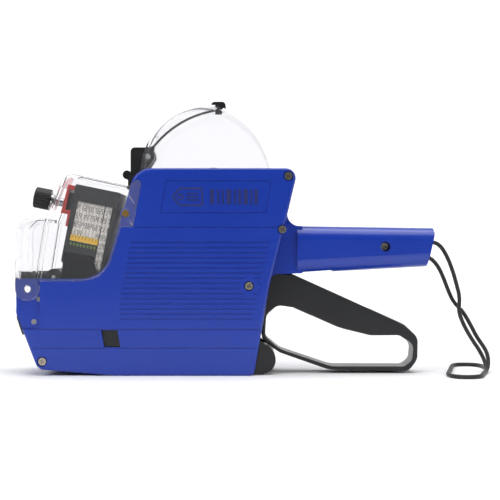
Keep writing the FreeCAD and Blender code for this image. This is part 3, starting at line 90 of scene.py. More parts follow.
# ------------------------------------------------------------------ colour and nodes
def linear(colour: str) -> tuple[float, float, float, float]:
    """Turns an sRGB hex colour into the linear values that a shader takes.

    Args:
        colour: Six hex digits after a hash sign.

    Returns:
        Linear red, green, blue and an alpha of one.
    """
    parts = np.array([int(colour[i:i + 2], 16) for i in (1, 3, 5)]) / 255.0
    parts = np.where(parts <= 0.04045, parts / 12.92, ((parts + 0.055) / 1.055) ** 2.4)
    return (float(parts[0]), float(parts[1]), float(parts[2]), 1.0)


def add(tree: Any, kind: str, inputs: dict[str | int, Any] | None = None,
        **settings: Any) -> Any:
    """Adds one node with its settings, its constants and its links.

    Args:
        tree: The node tree that takes the node.
        kind: The node's Blender type name, without ShaderNode.
        inputs: Values by input name or number. An output socket is linked, and
            any other value is set on the input itself.
        **settings: Properties of the node.

    Returns:
        The new node.
    """
    node = tree.nodes.new("ShaderNode" + kind)
    for name, value in settings.items():
        setattr(node, name, value)
    for name, value in (inputs or {}).items():
        if isinstance(value, bpy.types.NodeSocket):
            tree.links.new(value, node.inputs[name])
        else:
            node.inputs[name].default_value = value
    return node


def new_tree(name: str) -> tuple[Any, Any]:
    """Makes an empty material.

    Args:
        name: The material's name.

    Returns:
        The material and its empty node tree.
    """
    made = bpy.data.materials.new(name)
    made.use_nodes = True
    made.node_tree.nodes.clear()
    return made, made.node_tree


def blend_colours(tree: Any, share: Any, low: str, high: str) -> Any:
    """Mixes two colours by a 0 to 1 share and returns the colour socket."""
    ramp = add(tree, "ValToRGB", {"Fac": share})
    ramp.color_ramp.elements[0].color = linear(low)
    ramp.color_ramp.elements[1].color = linear(high)
    return ramp.outputs["Color"]


def worn_edges(tree: Any, width_mm: float, patches: Any) -> Any:
    """How far a point lies on a rubbed edge, 0 on a face and 1 on a sharp corner.

    The surface's own normal is compared with one that is rounded over the wear's
    width: the two differ only beside an edge. Patches break the line up.

    Args:
        tree: The material's node tree.
        width_mm: How far the wear reaches from the edge.
        patches: A 0 to 1 socket that says where the wear is strong.

    Returns:
        The 0 to 1 socket.
    """
    rounded = add(tree, "Bevel", {"Radius": width_mm * MM}, samples=4)
    flat = add(tree, "NewGeometry")
    same = add(tree, "VectorMath", {0: rounded.outputs["Normal"], 1: flat.outputs["Normal"]},
               operation="DOT_PRODUCT")
    turn = add(tree, "MapRange", {"Value": same.outputs["Value"], "From Min": 0.985,
                                  "From Max": 0.80, "To Min": 0.0, "To Max": 1.0})
    return add(tree, "Math", {0: turn.outputs["Result"], 1: patches},
               operation="MULTIPLY").outputs["Value"]


def speckle(tree: Any, place: Any, size_mm: float, detail: float = 3.0,
            rough: float = 0.55) -> Any:
    """Cloudy noise whose lumps are about size_mm across, as a 0 to 1 socket."""
    return add(tree, "TexNoise", {"Vector": place, "Scale": 1.0 / (size_mm * MM),
                                  "Detail": detail, "Roughness": rough}).outputs["Fac"]


# ------------------------------------------------------------------ finishes
@dataclass(frozen=True)
class Finish:
    """A surface finish, whose material is built once and then shared.

    Args:
        name: The material's name.
    """

    name: str

    def shade(self, tree: Any) -> Any:
        """Builds the finish's nodes and returns the shader's socket."""
        raise NotImplementedError

    def material(self) -> bpy.types.Material:
        """Returns the finish's material, which the first call builds."""
        found = bpy.data.materials.get(self.name)
        if found:
            return found
        made, tree = new_tree(self.name)
        add(tree, "OutputMaterial", {"Surface": self.shade(tree)})
        return made


@dataclass(frozen=True)
class Moulded(Finish):
    """An injection-moulded plastic: even colour, satin skin, flow marks, rubbed edges.

    Args:
        colour: Main colour, sRGB hex.
        deep: The tone that the resin drifts to where it flowed slowly, sRGB hex.
        rubbed: The tone of a polished or chalky edge, sRGB hex.
        roughness: Mean roughness of the skin.
        grain_mm: Size of the mould's spark-eroded grain.
        grain_deep_mm: Depth of that grain.
        flow_mm: Size of the slow colour drift.
        edge_mm: Width of the wear along an edge.
        ior: Index of refraction of the resin.
        coat: Weight of the clear gloss that a polished mould leaves.
    """

    colour: str
    deep: str
    rubbed: str
    roughness: float = 0.35
    grain_mm: float = 0.35
    grain_deep_mm: float = 0.006
    flow_mm: float = 26.0
    edge_mm: float = 0.35
    ior: float = 1.53
    coat: float = 0.0

    def shade(self, tree: Any) -> Any:
        """Builds the finish's nodes and returns the shader's socket."""
        place = add(tree, "TexCoord").outputs["Object"]
        drift = speckle(tree, place, self.flow_mm, 4.0)
        handled = speckle(tree, place, 7.0, 6.0, 0.65)
        body = blend_colours(tree, drift, self.deep, self.colour)
        patches = add(tree, "MapRange", {"Value": handled, "From Min": 0.42, "From Max": 0.62})
        edge = worn_edges(tree, self.edge_mm, patches.outputs["Result"])
        shade = add(tree, "Mix", {0: edge, 6: body, 7: linear(self.rubbed)}, data_type="RGBA")
        gloss = add(tree, "MapRange", {"Value": drift, "From Min": 0.3, "From Max": 0.7,
                                       "To Min": self.roughness * 0.93,
                                       "To Max": self.roughness * 1.07})
        grain = speckle(tree, place, self.grain_mm, 2.0)
        skin = add(tree, "Bump", {"Height": grain, "Distance": self.grain_deep_mm * MM,
                                  "Strength": 1.0})
        # hairline scuffs from the bench: long thin noise, almost without depth
        stretched = add(tree, "Mapping", {"Vector": place, "Scale": (60.0, 900.0, 2600.0),
                                          "Rotation": (0.0, 0.42, 0.0)})
        scuff = add(tree, "TexNoise", {"Vector": stretched.outputs["Vector"], "Scale": 1.0,
                                       "Detail": 1.0})
        scuffed = add(tree, "Bump", {"Height": scuff.outputs["Fac"], "Distance": 0.003 * MM,
                                     "Strength": 0.5, "Normal": skin.outputs["Normal"]})
        shader = add(tree, "BsdfPrincipled", {
            "Base Color": shade.outputs[2], "Roughness": gloss.outputs["Result"],
            "Normal": scuffed.outputs["Normal"], "IOR": self.ior, "Coat Weight": self.coat,
            "Coat Roughness": 0.12})
        return shader.outputs["BSDF"]


@dataclass(frozen=True)
class ClearMoulded(Finish):
    """A clear polystyrene moulding: glassy, faintly grey, with handling haze.

    Args:
        tint: The colour that light takes on in passing one surface, sRGB hex.
        roughness: Roughness of the polished skin.
        haze: How much fingers and rubbing add to it.
        ior: Index of refraction.
    """

    tint: str
    roughness: float = 0.02
    haze: float = 0.08
    ior: float = 1.50

    def shade(self, tree: Any) -> Any:
        """Builds the finish's nodes and returns the shader's socket."""
        place = add(tree, "TexCoord").outputs["Object"]
        cloud = speckle(tree, place, 11.0, 6.0, 0.6)
        touched = add(tree, "MapRange", {"Value": cloud, "From Min": 0.5, "From Max": 0.8,
                                         "To Min": self.roughness,
                                         "To Max": self.roughness + self.haze})
        ripple = speckle(tree, place, 14.0, 1.0)
        waved = add(tree, "Bump", {"Height": ripple, "Distance": 0.05 * MM, "Strength": 0.35})
        drawn = add(tree, "Mapping", {"Vector": place, "Scale": (50.0, 1200.0, 2400.0),
                                      "Rotation": (0.0, -0.5, 0.0)})
        hair = add(tree, "TexNoise", {"Vector": drawn.outputs["Vector"], "Scale": 1.0,
                                      "Detail": 0.0})
        scratched = add(tree, "Bump", {"Height": hair.outputs["Fac"], "Distance": 0.002 * MM,
                                       "Strength": 0.4, "Normal": waved.outputs["Normal"]})
        shader = add(tree, "BsdfPrincipled", {
            "Base Color": linear(self.tint), "Roughness": touched.outputs["Result"],
            "Transmission Weight": 1.0, "IOR": self.ior,
            "Normal": scratched.outputs["Normal"]})
        return shader.outputs["BSDF"]


@dataclass(frozen=True)
class Plated(Finish):
    """Steel under a thin plating: drawn or stamped, with fine lines along one axis.

    Args:
        colour: The plating's reflectance, sRGB hex.
        stain: The colour where it has dulled, sRGB hex.
        roughness: Mean roughness.
        line_mm: Spacing of the drawing lines.
        grime_and_shade: The dark tone at the bottom of slots and corners, painted shade
            together with grime, sRGB hex.
    """

    colour: str
    stain: str
    roughness: float = 0.28
    line_mm: float = 0.25
    grime_and_shade: str = "#1E1B16"

    def shade(self, tree: Any) -> Any:
        """Builds the finish's nodes and returns the shader's socket."""
        place = add(tree, "TexCoord").outputs["Object"]
        dull = speckle(tree, place, 3.0, 5.0, 0.6)
        across = 1.0 / (self.line_mm * MM)
        drawn = add(tree, "Mapping", {"Vector": place,
                                      "Scale": (across, across * 0.04, across)})
        lines = add(tree, "TexNoise", {"Vector": drawn.outputs["Vector"], "Scale": 1.0,
                                       "Detail": 2.0})
        metal = blend_colours(tree, dull, self.stain, self.colour)
        # painted shade: ambient occlusion darkens the metal's colour towards the grime tone in
        # slots and corners, standing for the shade there as well as grime
        open_sky = add(tree, "AmbientOcclusion", {"Distance": 1.4 * MM}, samples=8)
        unshaded_share = add(tree, "MapRange", {"Value": open_sky.outputs["AO"], "From Min": 0.25,
                                       "From Max": 0.75})
        shade = add(tree, "Mix", {0: unshaded_share.outputs["Result"], 6: linear(self.grime_and_shade),
                                  7: metal}, data_type="RGBA").outputs[2]
        gloss = add(tree, "MapRange", {"Value": lines.outputs["Fac"],
                                       "To Min": self.roughness * 0.7,
                                       "To Max": self.roughness * 1.3})
        bump = add(tree, "Bump", {"Height": lines.outputs["Fac"], "Distance": 0.006 * MM,
                                  "Strength": 0.6})
        shader = add(tree, "BsdfPrincipled", {
            "Base Color": shade, "Metallic": 1.0, "Roughness": gloss.outputs["Result"],
            "Normal": bump.outputs["Normal"]})
        return shader.outputs["BSDF"]


@dataclass(frozen=True)
class Rubber(Finish):
    """A cured rubber: matt, faintly dusty, with a pebbled skin.

    Args:
        colour: Main colour, sRGB hex.
        dusty: The tone of ink or dust that settles in the skin, sRGB hex.
        pebble_mm: Size of the pebbles.
        roughness: Mean roughness.
    """

    colour: str
    dusty: str
    pebble_mm: float = 0.5
    roughness: float = 0.62

    def shade(self, tree: Any) -> Any:
        """Builds the finish's nodes and returns the shader's socket."""
        place = add(tree, "TexCoord").outputs["Object"]
        cells = add(tree, "TexVoronoi", {"Vector": place,
                                         "Scale": 1.0 / (self.pebble_mm * MM)})
        smear = speckle(tree, place, 4.0, 6.0, 0.7)
        share = add(tree, "MapRange", {"Value": smear, "From Min": 0.38, "From Max": 0.60})
        shade = blend_colours(tree, share.outputs["Result"], self.dusty, self.colour)
        bump = add(tree, "Bump", {"Height": cells.outputs["Distance"],
                                  "Distance": 0.02 * MM, "Strength": 0.7})
        shader = add(tree, "BsdfPrincipled", {
            "Base Color": shade, "Roughness": self.roughness, "IOR": 1.52,
            "Normal": bump.outputs["Normal"], "Sheen Weight": 0.15})
        return shader.outputs["BSDF"]


@dataclass(frozen=True)
class Felt(Finish):
    """Wool felt soaked with ink: no gloss, a tangle of fibres, darker where it is wet.

    Args:
        dry: Colour of the dry fibres, sRGB hex.
        wet: Colour of the soaked ones, sRGB hex.
        fibre_mm: Spacing of the fibres, drawn coarse enough to show.
    """

    dry: str
    wet: str
    fibre_mm: float = 0.3

    def shade(self, tree: Any) -> Any:
        """Builds the finish's nodes and returns the shader's socket."""
        place = add(tree, "TexCoord").outputs["Object"]
        tangle = add(tree, "TexNoise", {"Vector": place, "Scale": 1.0 / (self.fibre_mm * MM),
                                        "Detail": 5.0, "Distortion": 2.2})
        shade = blend_colours(tree, tangle.outputs["Fac"], self.wet, self.dry)
        bump = add(tree, "Bump", {"Height": tangle.outputs["Fac"], "Distance": 0.12 * MM,
                                  "Strength": 0.8})
        shader = add(tree, "BsdfPrincipled", {
            "Base Color": shade, "Roughness": 0.9, "Normal": bump.outputs["Normal"],
            "Sheen Weight": 0.5, "Sheen Roughness": 0.6})
        return shader.outputs["BSDF"]


@dataclass(frozen=True)
class BraidedNylon(Finish):
    """A round nylon braid: fine filaments laid at a slant in each strand, their crests
    lightened with painted sheen.

    The pattern reads the piece's own UV map, round the cord in U and along it in V.

    Args:
        colour: Colour of the strands, sRGB hex.
        bright: The painted sheen on a strand's filament crests, sRGB hex.
        filaments: How many filaments are drawn round the cord.
        lay: How many filament lines pass along the whole cord.
    """

    colour: str
    bright: str
    filaments: float = 40.0
    lay: float = 900.0

    def shade(self, tree: Any) -> Any:
        """Builds the finish's nodes and returns the shader's socket."""
        spread = add(tree, "UVMap", uv_map="UVMap").outputs["UV"]
        laid = add(tree, "Mapping", {"Vector": spread,
                                     "Scale": (self.filaments, self.lay, 1.0)})
        threads = add(tree, "TexWave", {"Vector": laid.outputs["Vector"], "Scale": 0.5,
                                        "Distortion": 1.5, "Detail": 2.0},
                      bands_direction="DIAGONAL")
        # painted sheen: the thread crests, where the bump stands high, take the lighter colour
        shade = blend_colours(tree, threads.outputs["Fac"], self.colour, self.bright)
        bump = add(tree, "Bump", {"Height": threads.outputs["Fac"], "Distance": 0.03 * MM,
                                  "Strength": 0.6})
        shader = add(tree, "BsdfPrincipled", {
            "Base Color": shade, "Roughness": 0.55, "Normal": bump.outputs["Normal"],
            "Sheen Weight": 0.2, "Sheen Roughness": 0.4, "IOR": 1.53})
        return shader.outputs["BSDF"]


# Glossy ABS from a polished mould: deep colour under a clear reflection.
BLUE_ABS = Moulded("moulded_blue_abs", "#0A36A4", "#08309A", "#2C4AB4", roughness=0.30,
                   grain_mm=0.9, grain_deep_mm=0.004, flow_mm=34.0, coat=0.1)
# The same resin where the mould was etched, with a rough grainy skin; its colour is darkened
# as painted shade, for the shadowed lines of the relief.
ETCHED_SHADED_ABS = Moulded("etched_shaded_blue_abs", "#101F6A", "#0D1A5C", "#24378C", roughness=0.55,
                     grain_mm=0.3, grain_deep_mm=0.02, flow_mm=20.0)
# Darker blue ABS of the floor hatch, from a second batch of resin.
DARK_BLUE_ABS = Moulded("moulded_dark_blue_abs", "#16266B", "#122059", "#3A4A96",
                        roughness=0.34, grain_mm=0.6)
# Black ABS and acetal: satin, and grey where hands and parts have rubbed it.
BLACK_ABS = Moulded("moulded_black_abs", "#17181B", "#101114", "#4A4C50", roughness=0.36,
                    grain_mm=0.45, grain_deep_mm=0.008, edge_mm=0.3)
GLOSSY_BLACK = Moulded("glossy_black_abs", "#090A0B", "#060708", "#34363A", roughness=0.28,
                       grain_mm=0.5, grain_deep_mm=0.004, edge_mm=0.2)
BLACK_ACETAL = Moulded("moulded_black_acetal", "#202125", "#1A1B1E", "#505257",
                       roughness=0.42, grain_mm=0.3, grain_deep_mm=0.006, edge_mm=0.25)
# Red and yellow ABS: bright pigments, moulded thin, with a soft gloss.
RED_ABS = Moulded("moulded_red_abs", "#D8302B", "#C32824", "#EE7A70", roughness=0.32,
                  grain_mm=0.5, edge_mm=0.25)
YELLOW_ABS = Moulded("moulded_yellow_abs", "#FFD24A", "#FFC73A", "#FFE49A", roughness=0.38,
                     grain_mm=0.5, edge_mm=0.2)
GREEN_MARK = Moulded("printed_green_mark", "#7E9A48", "#6E8A3C", "#A5BD76", roughness=0.5,
                     grain_mm=0.3, edge_mm=0.1)
# Clear polystyrene, which greys slightly through each wall.
CLEAR_STYRENE = ClearMoulded("clear_moulded_styrene", "#F5F5F7", haze=0.05)
CLEAR_DOME = ClearMoulded("clear_moulded_dome", "#F3F3F5", haze=0.03)
# Nickel-plated case screws: warm white metal with dulled patches.
NICKEL = Plated("nickel_plated_steel", "#C9C4B8", "#9D9686")
# Yellow-passivated screws under the clear tab.
PASSIVATED = Plated("yellow_passivated_steel", "#D9B36A", "#A8813F", roughness=0.32)
# Chemically blackened sheet steel of the two arms beside the head.
BLACKED = Plated("blackened_sheet_steel", "#26272A", "#1B1C1E", roughness=0.42)
# Oiled drawn steel of the pins, axles, spring and selector shaft: darker and smoother.
BRIGHT_STEEL = Plated("drawn_bright_steel", "#B4B6B9", "#8E9094", roughness=0.22)
# Cream rubber of the type bands, smudged with ink.
BAND_RUBBER = Rubber("cream_band_rubber", "#FCF8F0", "#E6E0D6", pebble_mm=0.35)
INKED_RUBBER = Rubber("inked_type_rubber", "#1B1A1C", "#2E2C30", pebble_mm=0.2,
                      roughness=0.5)
ROLLER_RUBBER = Rubber("black_roller_rubber", "#242426", "#38383A", pebble_mm=0.6)
INK_FELT = Felt("inked_wool_felt", "#2A2A33", "#101016")
# the second colour is painted sheen on the filament crests
CORD_NYLON = BraidedNylon("braided_black_nylon", "#060607", "#1D1D20")


# ------------------------------------------------------------------ surfaces
def make_piece(name: str, points: Array, faces: Array, finish: Any, body: str,
               smooth: bool = False) -> bpy.types.Object:
    """Puts worked-out points and faces into a mesh and hangs it on a body.

    Args:
        name: The piece's name.
        points: Vertex positions in metres, n by 3.
        faces: Vertex numbers, one row per face.
        finish: The finish that gives its material.
        body: The CAD body that it rides on.
        smooth: Whether the shading runs on over the faces.

    Returns:
        The new object, at the origin.
    """
    mesh = bpy.data.meshes.new(name)
    mesh.from_pydata(points.tolist(), [], faces.tolist())
    mesh.polygons.foreach_set("use_smooth", np.full(len(mesh.polygons), smooth))
    mesh.update()
    piece = bpy.data.objects.new(name, mesh)
    bpy.context.scene.collection.objects.link(piece)
    mesh.materials.append(finish.material())
    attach(piece, body)
    return piece


def grid_faces(rows: int, columns: int, around: bool) -> Array:
    """Four-sided faces between neighbouring points of a grid.

    Args:
        rows: How many rows of points there are.
        columns: How many points a row has.
        around: Whether the last column joins the first.

    Returns:
        One row of four vertex numbers per face, row by row.
    """
    row, column = np.meshgrid(np.arange(rows - 1),
                              np.arange(columns if around else columns - 1), indexing="ij")
    after = (column + 1) % columns
    low, high = row * columns, (row + 1) * columns
    return np.stack([low + column, low + after, high + after, high + column],
                    axis=-1).reshape(-1, 4)


def raised_pads(centres: Array, sizes: Array, high: float, slope: float
                ) -> tuple[Array, Array, Array]:
    """Low pads with sloping sides, drawn flat: a plate whose top is a little smaller.

    Corner k of a pad is its centre plus (+-half width, +-half height) at height 0,
    and the same drawn in by the slope at the full height.

    Args:
        centres: Across and up positions of the pads, n by 2.
        sizes: Their widths and heights, n by 2.
        high: How far they stand up.
        slope: How far the top is drawn in on each side.

    Returns:
        Flat positions (8n by 2), heights (8n) and faces (5n by 4), bottoms open.
    """
    signs = np.array([(-1, -1), (1, -1), (1, 1), (-1, 1)], float)
    foot = centres[:, None] + signs * sizes[:, None] / 2
    top = centres[:, None] + signs * (sizes[:, None] / 2 - slope)
    flat = np.concatenate([foot, top], axis=1).reshape(-1, 2)
    up = np.tile(np.repeat([0.0, high], 4), len(centres))
    one = np.array([(4, 5, 6, 7), (0, 1, 5, 4), (1, 2, 6, 5), (2, 3, 7, 6), (3, 0, 4, 7)])
    faces = (np.arange(len(centres))[:, None, None] * 8 + one).reshape(-1, 4)
    return flat, up, faces


def beaded_line(path: Array, half: float, high: float, closed: bool
                ) -> tuple[Array, Array, Array]:
    """A low rounded bead along a flat path: half an ellipse carried along the line.

    A section's point j is half * cos(a) to the side and high * sin(a) up, with a
    from 0 to a half turn. The side is the line's own direction turned by 90 degrees.

    Args:
        path: Points of the line, n by 2.
        half: Half the bead's width.
        high: Its height.
        closed: Whether the last point joins the first.

    Returns:
        Flat positions, heights and faces of the bead.
    """
    if closed:
        ahead = np.roll(path, -1, 0) - np.roll(path, 1, 0)
    else:
        ahead = np.gradient(path, axis=0)
    ahead /= np.linalg.norm(ahead, axis=1)[:, None]
    aside = np.stack([-ahead[:, 1], ahead[:, 0]], axis=1)
    angle = np.linspace(0.0, math.pi, 9)
    flat = path[:, None] + aside[:, None] * (half * np.cos(angle))[None, :, None]
    up = np.tile(high * np.sin(angle), len(path))
    rows = len(path) + (1 if closed else 0)
    faces = grid_faces(rows, len(angle), False) % (len(path) * len(angle))
    return flat.reshape(-1, 2), up, faces[:, ::-1]


def rounded_outline(corners: list[tuple[float, float, float]], steps: int = 7) -> Array:
    """Points of a closed outline whose corners are rounded by arcs.

    Each arc is drawn as a quadratic curve from a point on one side, pulled to the
    corner, to a point on the next side, which is within a hair of a circle's arc
    for the blunt corners used here.

    Args:
        corners: Across, up and rounding of each corner.
        steps: Points per corner.

    Returns:
        The outline's points, n by 2.
    """
    rows = np.array(corners, float)
    point, reach = rows[:, :2], rows[:, 2:3]
    back, ahead = np.roll(point, 1, 0) - point, np.roll(point, -1, 0) - point
    start = point + back / np.linalg.norm(back, axis=1)[:, None] * reach
    end = point + ahead / np.linalg.norm(ahead, axis=1)[:, None] * reach
    t = np.linspace(0.0, 1.0, steps)[None, :, None]
    curve = ((1 - t) ** 2 * start[:, None] + 2 * t * (1 - t) * point[:, None]
             + t ** 2 * end[:, None])
    return curve.reshape(-1, 2)


def dress(nodes: dict[str, bpy.types.Object], names: tuple[str, ...], finish: Any) -> None:
    """Gives each named CAD node one finish.

    Args:
        nodes: The frame's nodes by name.
        names: The nodes to dress.
        finish: The finish they take.
    """
    for name in names:
        nodes[name].data.materials.clear()
        nodes[name].data.materials.append(finish.material())


# ------------------------------------------------------------------ studio
@dataclass(frozen=True)
class SoftBox:
    """A square soft light.

    Args:
        name: Its name.
        place: Where it hangs.
        turn: Its turn about X, Y and Z in radians; unturned, it shines down.
        size: Its side.
        power: Its power in watts.
    """

    name: str
    place: tuple[float, float, float]
    turn: tuple[float, float, float]
    size: float
    power: float

    def hang(self) -> None:
        """Puts the light into the scene."""
        lamp = bpy.data.lights.new(self.name, "AREA")
        lamp.size, lamp.energy = self.size, self.power
        holder = bpy.data.objects.new(self.name, lamp)
        holder.location, holder.rotation_euler = self.place, self.turn
        bpy.context.scene.collection.objects.link(holder)


@dataclass
class Studio:
    """White sweep, soft boxes and the camera.

    Args:
        eye: The camera's place.
        lens_mm: Its focal length on a 36 mm wide sensor.
    """

    eye: tuple[float, float, float] = (0.0134, -0.700, 0.0723)
    lens_mm: float = 84.7
    width: float = 6.0
    front: float = -0.55
    back: float = 1.2
    bend: float = 0.8
    height: float = 2.6

    def set_camera(self) -> None:
        """Stands the camera level, looking straight at the left side."""
        lens = bpy.data.cameras.new("studio_camera")
        lens.lens, lens.sensor_width = self.lens_mm, 36.0
        lens.clip_start, lens.clip_end = 0.02, 50.0
        camera = bpy.data.objects.new("studio_camera", lens)
        camera.location = self.eye
        camera.rotation_euler = (math.pi / 2, 0.0, 0.0)
        bpy.context.scene.collection.objects.link(camera)
        bpy.context.scene.camera = camera
        bpy.context.scene.view_settings.view_transform = "Standard"

    def lay_floor(self) -> None:
        """A sheet that lies flat, then bends up behind the gun.

        The profile is a straight run along Y, a quarter circle and a straight run
        up, carried along X.
        """
        turn = np.linspace(0.0, math.pi / 2, 33)
        along = np.concatenate([np.linspace(self.front, self.back, 12)[:-1],
                                self.back + self.bend * np.sin(turn),
                                np.full(6, self.back + self.bend)])
        up = np.concatenate([np.zeros(11), self.bend * (1 - np.cos(turn)),
                             np.linspace(self.bend, self.height, 7)[1:]])
        across = np.linspace(-self.width / 2, self.width / 2, 9)
        grid = np.stack([np.broadcast_to(across, (len(along), 9)),
                         np.broadcast_to(along[:, None], (len(along), 9)),
                         np.broadcast_to(up[:, None], (len(along), 9))], axis=-1)
        mesh = bpy.data.meshes.new("studio_sweep")
        mesh.from_pydata(grid.reshape(-1, 3).tolist(), [],
                         grid_faces(len(along), 9, False).tolist())
        mesh.polygons.foreach_set("use_smooth", np.full(len(mesh.polygons), True))
        sweep = bpy.data.objects.new("studio_sweep", mesh)
        bpy.context.scene.collection.objects.link(sweep)
        made, tree = new_tree("matt_white_paper")
        place = add(tree, "TexCoord").outputs["Object"]
        tooth = speckle(tree, place, 1.2, 3.0)
        bump = add(tree, "Bump", {"Height": tooth, "Distance": 0.02 * MM, "Strength": 0.2})
        shade = blend_colours(tree, speckle(tree, place, 400.0, 2.0), "#FDFDFD", "#FFFFFF")
        shader = add(tree, "BsdfPrincipled", {
            "Base Color": shade, "Roughness": 0.9, "Normal": bump.outputs["Normal"],
            "Specular IOR Level": 0.2})
        add(tree, "OutputMaterial", {"Surface": shader.outputs["BSDF"]})
        mesh.materials.append(made)

    def light(self) -> None:
        """A big box above, one to each side in front, two on the sweep and a dim room."""
        boxes = [
            SoftBox("top_box", (0.05, -0.20, 1.05), (0.0, 0.0, 0.05), 0.9, 7.5),
            SoftBox("left_box", (-0.90, -1.05, 0.80), (0.75, 0.0, -0.65), 0.7, 8.5),
            SoftBox("right_box", (1.05, -0.95, 0.60), (0.90, 0.0, 0.80), 0.7, 5.5),
            SoftBox("sweep_box_low", (0.0, 0.75, 0.10), (1.75, 0.0, 0.0), 1.6, 16.0),
            SoftBox("sweep_box_high", (0.0, 0.60, 1.60), (0.70, 0.0, 0.0), 1.6, 16.5)]
        for box in boxes:
            box.hang()
        world = bpy.data.worlds.new("dim_room")
        world.use_nodes = True
        # the eye, looking past the gun or through its clear walls, meets a white room
        path = add(world.node_tree, "LightPath")
        seen = add(world.node_tree, "Math", {0: path.outputs["Is Camera Ray"],
                                             1: path.outputs["Is Transmission Ray"]},
                   operation="MAXIMUM")
        strength = add(world.node_tree, "MapRange", {"Value": seen.outputs["Value"],
                                                     "To Min": 0.12, "To Max": 1.0})
        ground = world.node_tree.nodes["Background"]
        ground.inputs["Color"].default_value = linear("#FFFFFF")
        world.node_tree.links.new(strength.outputs["Result"], ground.inputs["Strength"])
        bpy.context.scene.world = world


